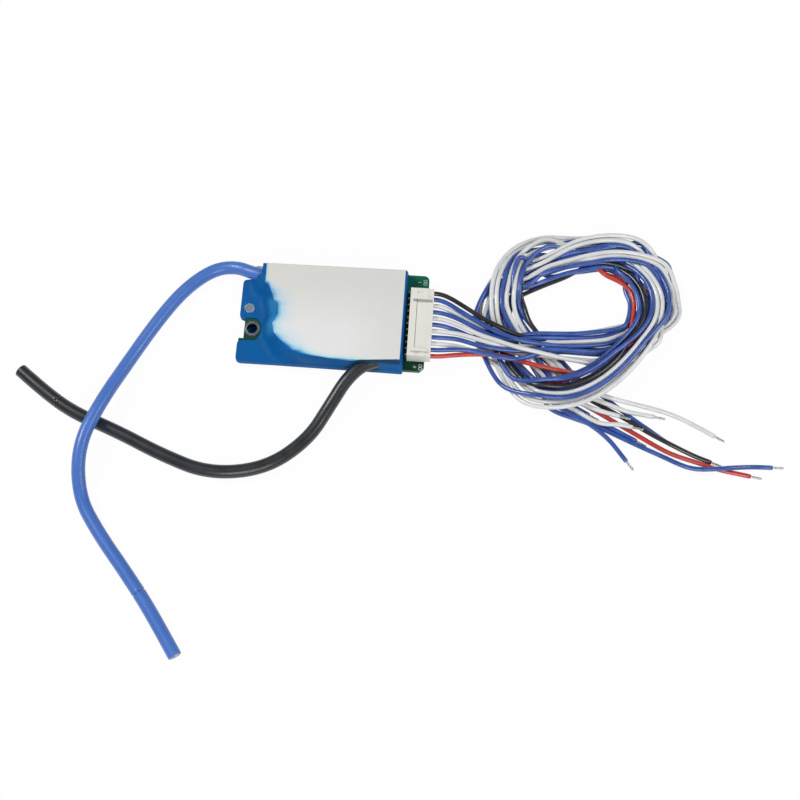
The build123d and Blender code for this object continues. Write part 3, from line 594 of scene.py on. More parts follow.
def settled(wires, gap, rounds):
    """Moves the wires apart until their middles are a gap apart, as they lie on each other.

    Each round finds the nearest places of all pairs of runs, moves each pair that is too near
    apart along the line between them, smooths the movement along each wire, and lets it sink
    a little towards the table.
    """
    starts = np.cumsum([0] + [len(w) for w in wires])
    rest = np.concatenate(wires)
    count = len(rest)
    first = np.setdiff1d(np.arange(count - 1), starts[1:-1] - 1)
    owner = np.repeat(np.arange(len(wires)), [len(w) for w in wires])
    free = np.ones(count)
    for a, b in zip(starts[:-1], starts[1:]):
        free[a:a + 3] = 0
        free[b - 2:b] = 0
    moved = np.zeros_like(rest)
    inside = np.ones(count, bool)
    inside[starts[:-1]] = False
    inside[starts[1:] - 1] = False
    left, right = np.flatnonzero(inside) - 1, np.flatnonzero(inside) + 1
    core = np.flatnonzero(inside)
    pair_a = pair_b = None
    for turn in range(rounds):
        now = rest + moved
        if turn % SETTLE_SEARCH == 0:
            middle = (now[first] + now[first + 1]) / 2
            far = ((middle[:, None] - middle[None]) ** 2).sum(2)
            ia, ib = np.nonzero(np.triu(far < SETTLE_RANGE ** 2, 1))
            apart = (owner[first[ia]] != owner[first[ib]]) | (np.abs(first[ia] - first[ib]) > 4)
            pair_a, pair_b = first[ia[apart]], first[ib[apart]]
        p, q, r, s = now[pair_a], now[pair_a + 1], now[pair_b], now[pair_b + 1]
        ta, tb = closest(p, q, r, s)
        between = (p + (q - p) * ta[:, None]) - (r + (s - r) * tb[:, None])
        distance = np.linalg.norm(between, axis=1)
        near = distance < gap
        away = between[near] / np.maximum(distance[near], 1e-3)[:, None]
        push = away * ((gap - distance[near]) * 0.5)[:, None]
        total, weight = np.zeros_like(rest), np.zeros(count)
        for index, share, sign in ((pair_a, 1 - ta, 1), (pair_a + 1, ta, 1),
                                   (pair_b, 1 - tb, -1), (pair_b + 1, tb, -1)):
            part = share[near]
            np.add.at(total, index[near], push * (part * sign)[:, None])
            np.add.at(weight, index[near], part)
        step = total / np.maximum(weight, 1.0)[:, None] * SETTLE_PUSH
        moved += step * free[:, None]
        moved[:, 2] -= SETTLE_FALL * free
        for _ in range(2):
            bend = moved[left] + moved[right] - 2 * moved[core]
            moved[core] += SETTLE_EVENING * bend * free[core, None]
        low = rest[:, 2] + moved[:, 2]
        moved[:, 2] += np.maximum(WIRE_LOWEST - low, 0) * free
    now = rest + moved
    return [now[a:b] for a, b in zip(starts[:-1], starts[1:])]


def enamel(name, colour, light):
    """Glossy thin insulation: colour drifts along the wire, with a few lighter scuffs."""
    f = Finish(name, colour, 0.3, coat_weight=0.6, coat_roughness=0.13)
    uv = f.node("ShaderNodeUVMap", {}, {})
    drift = f.noise(1.6, 2.0, f.stretched((1.0, 1.2, 1.0), uv))
    scuffs = f.noise(300.0, 4.0)
    f.set("Base Color", f.blend(f.ranged(drift, 0.35, 0.7, 0.0, 0.6), colour, light))
    f.set("Roughness", f.ranged(scuffs, 0.35, 0.7, 0.24, 0.42))
    return f.bump(f.noise(900.0, 2.0), 0.00004)


def wire_finishes():
    """The insulation of the sense wires by colour."""
    return {
        "black": enamel("wire_black", (0.012, 0.012, 0.014), (0.03, 0.03, 0.034)),
        "blue": enamel("wire_blue", (0.022, 0.07, 0.31), (0.06, 0.14, 0.49)),
        "white": enamel("wire_white", (0.68, 0.69, 0.69), (0.79, 0.8, 0.8)),
        "red": enamel("wire_red", (0.5, 0.03, 0.025), (0.62, 0.07, 0.05)),
    }


class WireSizes(bpy.types.PropertyGroup):
    wire_diameter: bpy.props.FloatProperty(name="Wire diameter", description="Thickness of a sense wire",
                                           default=0.0014, unit="LENGTH")
    cable_diameter: bpy.props.FloatProperty(name="Cable diameter", description="Thickness of a power cable",
                                            default=0.004, unit="LENGTH")
    settle_rounds: bpy.props.IntProperty(name="Settle rounds", default=160,
                                         description="Rounds in which the wound wires move apart")


class BoardColours(bpy.types.PropertyGroup):
    film: bpy.props.FloatVectorProperty(name="Film", description="Colour of the wrapping film",
                                        subtype="COLOR", default=(0.0, 0.088, 0.31))
    panel: bpy.props.FloatVectorProperty(name="Panel", description="Colour of the pale top",
                                         subtype="COLOR", default=(0.66, 0.65, 0.62))
    laminate: bpy.props.FloatVectorProperty(name="Laminate", description="Colour of the circuit board",
                                            subtype="COLOR", default=(0.0, 0.095, 0.05))
    moulding: bpy.props.FloatVectorProperty(name="Moulding", description="Colour of the header and plug",
                                            subtype="COLOR", default=(0.72, 0.71, 0.65))
    blue_cable: bpy.props.FloatVectorProperty(name="Blue cable", description="Colour of the blue cable",
                                              subtype="COLOR", default=(0.045, 0.145, 0.49))


class BOARD_OT_camera(bpy.types.Operator):
    """Places the camera: a little off straight down, and turned a little"""
    bl_idname = "board.camera"
    bl_label = "Camera"

    def execute(self, context):
        data = bpy.data.cameras.new("camera")
        data.lens = CAMERA_LENS
        data.sensor_width = 36.0
        data.clip_start = 0.01
        camera = bpy.data.objects.new("camera", data)
        camera.location = CAMERA_PLACE
        camera.rotation_euler = Euler((np.radians(CAMERA_TILT), 0.0, np.radians(CAMERA_TURN)))
        context.scene.collection.objects.link(camera)
        context.scene.camera = camera
        return {"FINISHED"}


def tinned_strands():
    """Twisted tinned strands: a sine of the place round and along the wire's end."""
    tin = Finish("wire_tin", (0.6, 0.6, 0.6), 0.32, metallic=1.0)
    across, reach, _ = tin.parts(tin.node("ShaderNodeUVMap", {}, {}))
    return tin.bump(tin.maths("SINE", (across * 7 + reach * 12) * 6.283), 0.00005)


class BOARD_OT_sense_wires(bpy.types.Operator):
    """Winds the eleven sense wires: lead, one and a half turns of the coil, and a free tail"""
    bl_idname = "board.sense_wires"
    bl_label = "Sense wires"

    def execute(self, context):
        sizes = context.scene.board_sizes
        diameter = sizes.wire_diameter / MM
        finishes = wire_finishes()
        tin = tinned_strands()
        controls = [halved(wire_control_points(w + 1)) for w in range(WIRE_COUNT)]
        controls = settled(controls, diameter * WIRE_GAP, sizes.settle_rounds)
        for wire, control in enumerate(controls, 1):
            name = f"sense_wire_{wire:02d}"
            colour = WIRE_COLOURS[wire - 1]
            line, _ = resampled(spline_points(name, control, 5), WIRE_STEP)
            body, _ = resampled(line, WIRE_STEP)
            radii = np.full(len(body), diameter / 2)
            radii[-1] *= 0.93
            piece = tube_piece(name + "_wound", body, radii, WIRE_SIDES, finishes[colour])
            fitted(piece, "wire_" + colour, name, *(["sense_wire_coil"] if wire == COIL_WIRE else []))
            ahead = np.subtract(TAIL_POINTS[wire][-1], TAIL_POINTS[wire][-2])
            ahead /= np.linalg.norm(ahead)
            stub = np.linspace(-1.0, TIP_LENGTH, 15)[:, None] * ahead + line[-1]
            stub[:, 2] = np.maximum(stub[:, 2], TIP_RADIUS + 0.01)
            radii = np.full(len(stub), TIP_RADIUS)
            radii[-1] = 0.27
            tip = tube_piece(f"stripped_end_{wire:02d}", stub, radii, WIRE_SIDES, tin)
            fitted(tip, "wire_tin", f"sense_wire_tip_{wire:02d}")
            exit_point = tuple(np.array(plug_point(wire, PLUG_RIGHT)) * MM)
        return {"FINISHED"}


def silicone(name, colour, light, gloss):
    """Silicone cable: faint drift of colour, a soft shine, very fine grain, dust that dulls it in places."""
    f = Finish(name, colour, gloss, coat_weight=0.35, coat_roughness=0.22)
    f.set("Base Color", f.blend(f.ranged(f.noise(60.0), 0.3, 0.75, 0.0, 0.8), colour, light))
    f.roughen(260.0, gloss - 0.07, gloss + 0.1)
    return f.bump(f.noise(1100.0, 2.0), 0.000012)


def cable_piece(colour, route, finish, diameter):
    """A cable as a tube with a cut round it near its end and a rolled edge at its cut face."""
    line, marks = resampled(spline_points(colour + "_cable", route, 14), CABLE_STEP)
    last, before = np.linalg.norm(np.diff(route[-3:], axis=0), axis=1)[::-1]
    score = marks[-1] - last - before / 2 + 0.6
    marks = np.sort(np.r_[marks, score + np.linspace(-0.9, 0.9, 13), marks[-1] - np.array([0.06, 0.2])])
    line = picked(line, marks)
    off = np.abs(marks - score)
    radius = diameter / 2 * (1 + 0.02 * np.exp(-((off - 0.55) / 0.2) ** 2))
    radius = np.where(off < 0.2, diameter / 2 * (1 - SCORE_DEPTH), radius)
    radius = np.where(marks > marks[-1] - 0.1, radius * 0.95, radius)
    piece = tube_piece(colour + "_cable", line, radius, CABLE_SIDES, finish)
    fitted(piece, "cable_" + colour, colour + "_power_cable", colour + "_cable_end")


class BOARD_OT_power_cables(bpy.types.Operator):
    """Lays the blue and the black power cable along their routes"""
    bl_idname = "board.power_cables"
    bl_label = "Power cables"

    def execute(self, context):
        diameter = context.scene.board_sizes.cable_diameter / MM
        colour = tuple(context.scene.board_colours.blue_cable)
        blue = silicone("cable_blue", colour, (0.06, 0.175, 0.56), 0.42)
        black = silicone("cable_black", (0.009, 0.012, 0.016), (0.016, 0.02, 0.026), 0.4)
        cable_piece("blue", BLUE_ROUTE, blue, diameter)
        cable_piece("black", BLACK_ROUTE, black, diameter)
        copper = Finish("cable_copper", (0.7, 0.36, 0.2), 0.35, metallic=1.0)
        strands = copper.node("ShaderNodeTexVoronoi", {}, {"Vector": copper.place(), "Scale": 3600.0})
        copper.bump(strands, 0.0001)
        dress_node("blue_cable_core", copper)
        dress_node("black_cable_core", copper)
        return {"FINISHED"}


def rounded_copy(name, node, width, finish, slot, ends):
    """A merged copy of a CAD node with its sharp edges rolled over.

    Its low end and its high end in y are drawn in by the two given lengths, and what lies between
    them moves by its share.
    """
    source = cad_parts[node]
    mesh = source.data.copy()
    mesh.name = name
    with edited(mesh) as work:
        bmesh.ops.transform(work, matrix=source.matrix_world, verts=work.verts)
        bmesh.ops.remove_doubles(work, verts=work.verts, dist=1e-6)
        bmesh.ops.dissolve_limit(work, angle_limit=np.radians(3.0), verts=work.verts, edges=work.edges)
        bmesh.ops.recalc_face_normals(work, faces=work.faces)
    places = mesh_points(mesh)
    low, high = places[:, 1].min(), places[:, 1].max()
    share = (places[:, 1] - low) / (high - low)
    places[:, 1] += (ends[0] * (1 - share) - ends[1] * share) * MM
    mesh.vertices.foreach_set("co", places.ravel())
    mesh.polygons.foreach_set("use_smooth", np.ones(len(mesh.polygons), bool))
    obj = bpy.data.objects.new(name, mesh)
    bpy.context.scene.collection.objects.link(obj)
    roll = obj.modifiers.new("rolled_edges", "BEVEL")
    roll.width = width * MM
    roll.segments = 2
    roll.limit_method = "ANGLE"
    roll.angle_limit = np.radians(30.0)
    obj.modifiers.new("even_shading", "WEIGHTED_NORMAL").keep_sharp = True
    dress(obj, finish)
    fitted(obj, slot, node)


def film_finish(colour):
    """Shrunk plastic film: even deep blue, with a painted light-blue reflection on the slope at the left.

    It is dark over the black cable's exit and along the front rim beside it, with fine puckers.
    """
    f = Finish("blue_film", colour, 0.5, specular_ior_level=0.09)
    x, y, z = f.parts(f.place())
    drift = f.noise(90.0, 2.0)
    # Painted reflection: the mask named stretched mixes the left slope towards light blue in place of a
    # lamp's reflection; the drift alone adds random tone everywhere.
    stretched = f.ranged(z, 0.0040, 0.0068) * f.ranged(x, -0.0165, -0.0185)
    stretched = stretched * f.within(y, (-0.0095, -0.0065), (0.0020, 0.0046))
    face = f.blend(stretched * drift * 1.1 + drift * 0.15, colour, (0.03, 0.26, 0.52))
    front = f.ranged(y, -0.0140, -0.0146)
    over_cable = f.within(x, (0.0062, 0.0078), (0.0125, 0.0150)) * front
    rim = f.within(x, (0.0075, 0.0100), (0.0196, 0.0202)) * front * f.ranged(z, 0.0066, 0.0076)
    shade = f.maths("MAXIMUM", over_cable, rim)
    f.set("Base Color", f.blend(shade * 0.8, face, (0.012, 0.035, 0.055)))
    f.roughen(240.0, 0.42, 0.56, 2.0)
    return f.bump(f.noise(170.0, 2.0), 0.0001)


# The film's outline on the table, with the bay round the eyelet, and the shoulder of its raised part.
FILM_OUTLINE = (
    (-28.85, -15.45), (20.9, -15.9), (20.9, 15.75), (-23.1, 15.75), (-23.1, 10.85), (-28.85, 10.85),
    (-28.85, -1.7), (-23.7, -1.5), (-22.4, -2.8), (-22.1, -5.0), (-22.4, -7.2), (-23.7, -8.8),
    (-28.85, -8.9),
)
FILM_CORNER_RADII = (1.3, 0.5, 0.5, 1.2, 0.6, 1.4, 1.2, 0.7, 0.8, 0.8, 0.8, 0.7, 1.2)
FILM_SHOULDER = (
    (20.3, -14.8), (20.3, 14.7), (-22.7, 14.35), (-22.6, 10.4), (-21.8, 8.6), (-20.0, 7.4), (-19.0, 5.2),
    (-17.9, 2.0), (-17.4, -1.2), (-18.2, -4.6), (-17.6, -7.0), (-15.4, -10.2), (-12.2, -13.2),
    (-8.8, -14.7),
)
# The pale panel's left edge, from the rear to the front.
PALE_EDGE = (
    (-21.9, 15.1), (-21.7, 8.6), (-20.6, 7.9), (-19.6, 5.6), (-18.4, 2.6), (-17.4, 1.2), (-17.0, -1.4),
    (-18.4, -4.6), (-17.6, -7.8), (-15.7, -9.9), (-13.7, -11.7), (-11.8, -13.2), (-9.4, -13.9),
    (-5.5, -14.5), (-0.4, -14.95), (9.9, -15.2),
)
FILM_LOW = 3.35
FILM_HIGH = 8.35
# Rings of the film's wall from the bottom up, as (distance inward from the outline, height), then
# its rolled top edge as (distance inward, distance below the top) and the first rings of its top.
WALL_RINGS = ((1.6, 0.0), (0.9, 0.12), (0.45, 0.4), (0.14, 0.85), (0.0, 1.4), (0.0, 2.0))
EDGE_RINGS = ((0.0, 0.32), (0.03, 0.18), (0.11, 0.07))
TOP_RINGS = (0.24, 0.4, 0.56, 0.72, 0.88, 1.04, 1.2, 1.4, 1.7, 2.0, 2.4, 2.8, 3.2, 3.6, 4.0, 4.4, 4.8, 5.2)
FLAP_CORNERS = ((-27.3, -9.4), (-21.5, -9.4), (-21.5, -1.2), (-27.3, -1.2))
BOX_FACES = ((0, 3, 2, 1), (4, 5, 6, 7), (0, 1, 5, 4), (1, 2, 6, 5), (2, 3, 7, 6), (3, 0, 4, 7))
# The pale panel's front, rear and right edges.
PANEL_FRONT = -15.1
PANEL_REAR = 14.8
PANEL_RIGHT = 19.95


def rounded_outline(corners, radii, step):
    """A closed outline with each corner cut by a quadratic curve, and points a step apart along it."""
    corners = np.asarray(corners, float)
    back = np.roll(corners, 1, axis=0) - corners
    ahead = np.roll(corners, -1, axis=0) - corners
    radii = np.asarray(radii)[:, None]
    start = corners + back / np.linalg.norm(back, axis=1)[:, None] * radii
    end = corners + ahead / np.linalg.norm(ahead, axis=1)[:, None] * radii
    t = np.linspace(0, 1, 9)[None, :, None]
    bends = start[:, None] * (1 - t) ** 2 + 2 * corners[:, None] * t * (1 - t) + end[:, None] * t ** 2
    line = bends.reshape(-1, 2)
    line = np.concatenate([line, line[:1]])
    length = distances(line)[-1]
    return picked(line, np.linspace(0, length, int(length / step), endpoint=False))


def outline_reach(x, y, corners, closed=True):
    """Distance from an outline's nearest side; inside a closed one it is negative."""
    a = np.asarray(corners, float)
    b = np.roll(a, -1, axis=0)
    if not closed:
        a, b = a[:-1], b[:-1]
    px, py = x.ravel()[:, None], y.ravel()[:, None]
    dx, dy = (b - a).T
    t = np.clip(((px - a[:, 0]) * dx + (py - a[:, 1]) * dy) / (dx * dx + dy * dy), 0, 1)
    away = np.hypot(px - a[:, 0] - t * dx, py - a[:, 1] - t * dy).min(1)
    if not closed:
        return away.reshape(x.shape)
    passed = (a[:, 1] > py) != (b[:, 1] > py)
    before = px < dx * (py - a[:, 1]) / np.where(dy == 0, 1e-9, dy) + a[:, 0]
    within = (passed & before).sum(1) % 2 == 1
    return np.where(within, -away, away).reshape(x.shape)


def film_height(x, y):
    """Height of the film's top: level on the raised part, a bell curve down to the low part.

    The fall is short at the sides and the header end, and long and a little puckered at the left.
    """
    away = outline_reach(x, y, FILM_SHOULDER)
    slack = 1 / (1 + np.exp((x + 12.5) / 1.2)) / (1 + np.exp((y - 12.4) / 0.35))
    fall = np.exp(-(np.maximum(away, 0) / (0.6 + 1.8 * slack)) ** 2)
    height = FILM_LOW + (FILM_HIGH - FILM_LOW) * fall
    pucker = np.sin(1.9 * y + 0.8 * x) + 0.7 * np.sin(3.1 * y - 1.3 * x + 1.0) + 0.5 * np.sin(0.9 * y + 2.0)
    return height + 0.08 * pucker * slack * np.sin(np.pi * fall)


def film_rings(edge):
    """Rings of points that run from the film's bottom up its wall and over its top to the middle.

    Each ring is the outline moved inward, towards the nearest place of a middle rectangle.
    """
    heart = np.stack([np.clip(edge[:, 0], -16.0, 14.0), np.clip(edge[:, 1], -9.4, 9.0)], 1)
    inward = heart - edge
    depth = np.linalg.norm(inward, axis=1)
    inward /= depth[:, None]

    def ring(off, height):
        return np.c_[edge + inward * np.broadcast_to(off, depth.shape)[:, None],
                     np.broadcast_to(height, depth.shape)]

    def draped(off):
        flat = edge + inward * off[:, None]
        return np.c_[flat, film_height(flat[:, 0], flat[:, 1])]

    top = film_height(edge[:, 0], edge[:, 1])
    rings = [ring(depth, 0.0), ring(depth * 0.4, 0.0)]
    rings += [ring(off, height) for off, height in WALL_RINGS]
    rings += [ring(off, top - down) for off, down in EDGE_RINGS]
    rings += [draped(np.minimum(off, depth)) for off in TOP_RINGS]
    rings += [draped(TOP_RINGS[-1] + (depth - TOP_RINGS[-1]) * share) for share in np.linspace(0, 1, 26)[1:]]
    for share in (0.5, 0.97):
        flat = heart + (np.array((-1.0, 0.0)) - heart) * share
        rings.append(np.c_[flat, np.full(len(edge), FILM_HIGH)])
    return rings


class BOARD_OT_film(bpy.types.Operator):
    """Wraps the board in its blue film, open towards the header"""
    bl_idname = "board.film"
    bl_label = "Film"

    def execute(self, context):
        finish = film_finish(tuple(context.scene.board_colours.film))
        edge = rounded_outline(FILM_OUTLINE, FILM_CORNER_RADII, 0.4)
        rings = film_rings(edge)
        points = np.concatenate(rings)
        faces = grid_faces(len(rings), len(edge), close_columns=True)
        x, y, z = points[faces].mean(1).T
        open_end = (x > 20.75) & (np.abs(y) < 14.6) & (z > 0.5) & (z < 7.4)
        flap = np.array([(*corner, height) for height in (0.03, 0.24) for corner in FLAP_CORNERS])
        faces = np.concatenate([faces[~open_end], np.array(BOX_FACES) + len(points)])
        obj = make_piece("wrapping_film", np.concatenate([points, flap]), faces, finish)
        with edited(obj.data) as work:
            bmesh.ops.remove_doubles(work, verts=work.verts, dist=1e-6)
            bmesh.ops.holes_fill(work, edges=[e for e in work.edges if e.is_boundary], sides=0)
            bmesh.ops.recalc_face_normals(work, faces=work.faces)
        fitted(obj, "blue_film", "board_film")
        return {"FINISHED"}


def panel_finish(colour, film):
    """Satin pale print: it fades to the film's blue near its left and front edge, by the attribute
    edge_reach with streaks added; a painted sheen brightens it a little towards the front and the right."""
    f = Finish("pale_label", colour, 0.42)
    place = f.place()
    streaks = f.noise(170.0, 4.0, f.stretched((0.5, 1.6, 1.0), place))
    reach = f.attribute("edge_reach") + (streaks - 0.5) * 2.6
    face = f.ramp(reach / 8.0, (0.0, film), (0.03, (0.02, 0.19, 0.46)), (0.09, (0.2, 0.44, 0.6)),
                  (0.19, (0.43, 0.59, 0.66)), (0.42, (0.58, 0.64, 0.65)), (0.8, (0.66, 0.655, 0.63)))
    x, y, _ = f.parts(place)
    # Painted sheen: the base colour is multiplied up towards the front and the right.
    sheen = f.ranged(y, 0.012, -0.008) * f.ranged(x, 0.019, 0.002, 0.35, 1.0)
    bright = f.blend(sheen, (1.0, 1.0, 1.0), (1.14, 1.16, 1.19))
    f.set("Base Color", f.node("ShaderNodeMix", {"data_type": "RGBA", "blend_type": "MULTIPLY"},
                               {0: 1.0, 6: face, 7: bright}, 2))
    f.roughen(500.0, 0.34, 0.5)
    return f.bump(f.noise(60.0, 2.0), 0.0002, 0.6)


class BOARD_OT_panel(bpy.types.Operator):
    """Lays the pale panel on the raised top, fading to the film's blue at its left and front"""
    bl_idname = "board.panel"
    bl_label = "Top panel"

    def execute(self, context):
        colours = context.scene.board_colours
        rows, columns = 161, 181
        width = PANEL_REAR - PANEL_FRONT
        edge = np.array(PALE_EDGE)[::-1]
        y = np.linspace(PANEL_FRONT, PANEL_REAR, rows)
        left = np.interp(y, edge[:, 1], edge[:, 0])[:, None]
        x = left + (PANEL_RIGHT - left) * np.linspace(0, 1, columns)
        # The front edge is lifted over the black cable, and the rear edge slants a little.
        lift = 1.1 * np.clip((x - 5.0) / 14.0, 0, 1)
        y = y[:, None] + lift * np.exp((PANEL_FRONT - y[:, None]) / 1.5)
        y = y - 0.009 * (20.0 - x) * (y - PANEL_FRONT) / width
        points = np.stack([x, y, film_height(x, y) + 0.1], -1).reshape(-1, 3)
        away = outline_reach(x, y, PALE_EDGE, closed=False)
        front = 1 + 2.5 * np.clip((x + 9.0) / 6.0, 0, 1)
        rear = 1 + 5.0 * np.clip((y - 6.0) / 5.0, 0, 1)
        finish = panel_finish(tuple(colours.panel), tuple(colours.film))
        obj = make_piece("pale_panel", points, grid_faces(rows, columns), finish,
                         attributes={"edge_reach": away * front * rear + 0.15})
        fitted(obj, "pale_label", "top_panel")
        return {"FINISHED"}


class BOARD_OT_board(bpy.types.Operator):
    """Finishes the circuit board: green, darker to the front, with the bare laminate at its edge"""
    bl_idname = "board.circuit"
    bl_label = "Circuit board"

    def execute(self, context):
        colour = tuple(context.scene.board_colours.laminate)
        f = Finish("green_laminate", colour, 0.45, specular_ior_level=0.25)
        _, y, z = f.parts(f.place())
        weave = f.noise(900.0, 2.0)
        bare = f.within(z, (0.00148, 0.00152), (0.00298, 0.00302))
        dark = tuple(0.4 * c for c in colour)
        face = f.blend(f.ranged(y, -0.013, 0.012) * (0.85 + 0.15 * weave), dark, (0.0, 0.13, 0.075))
        f.set("Base Color", f.blend(bare * 0.35, face, (0.1, 0.12, 0.06)))
        f.bump(weave, 0.00003)
        rounded_copy("laminate_board", "circuit_board", 0.12, f, "green_laminate", (0.4, 0.0))
        return {"FINISHED"}


def rounded_bar(start, end, width, height):
    """A low bar between two points on a surface: a half-oval across, narrowed at both ends."""
    start, end = np.array(start, float), np.array(end, float)
    ahead = (end - start) / np.linalg.norm(end - start)
    side = np.cross(UP, ahead)
    run = np.array((0.0, 0.004, 0.03, 0.97, 0.996, 1.0))
    narrow = np.array((0.0, 0.8, 1.0, 1.0, 0.8, 0.0))[:, None, None]
    turn = np.linspace(0, FULL_TURN, 16, endpoint=False)
    across, above = (np.sign(c) * np.abs(c) ** 0.5 for c in (np.cos(turn), np.sin(turn)))
    ring = across[:, None] * side * width / 2 + above[:, None] * np.array(UP) * height / 2
    middle = start + (end - start) * run[:, None]
    points = (middle[:, None] + narrow * ring).reshape(-1, 3)
    return points, grid_faces(len(run), len(turn), close_columns=True)


def bars_piece(name, bars, finish, slot):
    """One piece of several bars, each given by start, end, width and height, closed at their tips."""
    shapes = [rounded_bar(*bar) for bar in bars]
    points = np.concatenate([points for points, _ in shapes])
    count = len(shapes[0][0])
    faces = np.concatenate([quads + count * k for k, (_, quads) in enumerate(shapes)])
    obj = make_piece(name, points, faces, finish)
    with edited(obj.data) as work:
        bmesh.ops.remove_doubles(work, verts=work.verts, dist=1e-7)
    fitted(obj, slot)


class BOARD_OT_header(bpy.types.Operator):
    """Finishes the wire header and its plug, with two ribs and a painted shadow line in front of each rib on
    the plug
    """
    bl_idname = "board.header"
    bl_label = "Header and plug"

    def execute(self, context):
        colour = tuple(context.scene.board_colours.moulding)
        f = Finish("cream_plastic", colour, 0.42, subsurface_weight=0.05, subsurface_radius=(0.001,) * 3)
        x, y, z = f.parts(f.place())
        plain = f.blend(f.ranged(f.noise(70.0), 0.35, 0.7, 0.0, 0.5), colour, (0.78, 0.77, 0.71))
        # Painted shadow: a dark line just in front of each of the plug's two ribs, on the plug's top only,
        # stronger at the rear rib.
        rear = f.within(y, (0.0049, 0.0052), (0.0058, 0.0061))
        front = f.within(y, (-0.0113, -0.0111), (-0.0108, -0.0106))
        rib_shadow = f.within(x, (0.0227, 0.0229), (0.0283, 0.0287)) * (rear + front * 0.6)
        shaded = rib_shadow * f.ranged(z, 0.0070, 0.0074, 0.0, 0.75)
        f.set("Base Color", f.blend(shaded, plain, (0.2, 0.2, 0.17)))
        f.roughen(500.0, 0.36, 0.52, 2.0)
        f.bump(f.noise(700.0, 2.0), 0.00003)
        for name, node in (("header_moulding", "header_shroud"), ("plug_moulding", "plug_housing")):
            rounded_copy(name, node, 0.14, f, "cream_plastic", (0.55, 1.1))
        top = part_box("plug_housing")[1][2] / MM
        for name, left, y, rise, width, height in (("plug_rib_rear", 22.7, 6.45, 0.25, 0.9, 0.8),
                                                   ("plug_rib_front", 22.5, -10.3, 0.2, 0.8, 0.7)):
            level = top + rise - height / 2
            bars_piece(name, [((left, y, level), (28.3, y, level), width, height)], f, "cream_plastic")
        return {"FINISHED"}


def mark_strokes(x, y, cross):
    """The strokes of a bar or a cross, and of two small loops beside it, in millimetres."""
    strokes = [((x - 2.3, y), (x - 1.2, y))]
    if cross:
        strokes.append(((x - 1.75, y - 0.5), (x - 1.75, y + 0.5)))
    turn = np.linspace(0, FULL_TURN, 9)
    for middle in (y - 0.46, y + 0.46):
        ring = np.stack([x + 0.55 * np.cos(turn), middle + 0.42 * np.sin(turn)], 1)
        strokes += list(zip(ring[:-1], ring[1:]))
    return strokes


class BOARD_OT_marks(bpy.types.Operator):
    """Prints the pale polarity marks on the board's two ends"""
    bl_idname = "board.marks"
    bl_label = "Polarity marks"

    def execute(self, context):
        f = Finish("mark_ink", (0.5, 0.6, 0.55), 0.5)
        f.roughen(900.0, 0.4, 0.6, 2.0)
        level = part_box("circuit_board")[1][2] / MM + 0.01
        for name, x, y, cross in (("minus_mark", 26.0, 13.4, False), ("plus_mark", 26.1, -14.0, True)):
            bars = [((*start, level), (*end, level), 0.17, 0.06) for start, end in mark_strokes(x, y, cross)]
            bars_piece(name, bars, f, "green_laminate")
        return {"FINISHED"}


def turned(f, middle):
    """The distance of each place from an upright axis, and its two parts across."""
    x, y, _ = f.parts(f.place())
    x, y = x - middle[0], y - middle[1]
    return (x ** 2 + y ** 2) ** 0.5, x, y


def eyelet_finish(middle):
    """Grooved metal: rings by a sine of the distance from the middle, and painted shade that makes the bore
    near black.
    """
    f = Finish("eyelet_metal", (0.2, 0.2, 0.21), 0.42, metallic=0.6)
    reach, _, _ = turned(f, middle)
    rings = f.maths("SINE", reach * 14500.0 - 2.0)
    face = f.blend(f.ranged(rings, -0.5, 0.7), (0.08, 0.085, 0.09), (0.4, 0.41, 0.42))
    # Painted shade: inside the bore the metal is near black and not metallic, so that the hole looks dark.
    outside = f.ranged(reach, 0.00156, 0.00164)
    f.set("Base Color", f.blend(outside, (0.003, 0.004, 0.006), face))
    f.set("Metallic", outside * 0.6)
    return f.bump(rings * outside, 0.00005)


def rivet_finish(middle):
    """Dull grey cap with a dark rim, which is crossed by bright dots by a sine of the angle."""
    f = Finish("rivet_metal", (0.33, 0.36, 0.4), 0.45, metallic=0.3)
    reach, x, y = turned(f, middle)
    rim = f.ranged(reach, 0.00112, 0.00122)
    dots = rim * f.ranged(f.maths("SINE", f.maths("ARCTAN2", y, x) * 18.0), -0.2, 0.4)
    dull = f.blend(rim, (0.2, 0.24, 0.28), (0.02, 0.08, 0.2))
    f.set("Base Color", f.blend(dots, dull, (0.62, 0.66, 0.7)))
    return f.bump(dots + f.noise(1600.0) * 0.3, 0.0001)


def axis_of(node):
    """The middle of a CAD node's box seen from above."""
    low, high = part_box(node)
    return (low[0] + high[0]) / 2, (low[1] + high[1]) / 2


# The parts under the film: their material's name, colour, roughness and metallic share.
HIDDEN_PARTS = {
    "heat_sink_plate": ("plate_metal", (0.7, 0.7, 0.72), 0.35, 1.0),
    "thermal_pad": ("grey_pad", (0.4, 0.42, 0.45), 0.8, 0.0),
    "power_transistors": ("black_moulding", (0.025, 0.025, 0.025), 0.55, 0.0),
    "protection_chip": ("chip_moulding", (0.03, 0.03, 0.03), 0.5, 0.0),
    "shunt_resistors": ("shunt_metal", (0.55, 0.52, 0.47), 0.4, 1.0),
    "balance_resistors": ("resistor_black", (0.04, 0.04, 0.04), 0.5, 0.0),
    "filter_capacitors": ("capacitor_brown", (0.38, 0.27, 0.18), 0.5, 0.0),
}


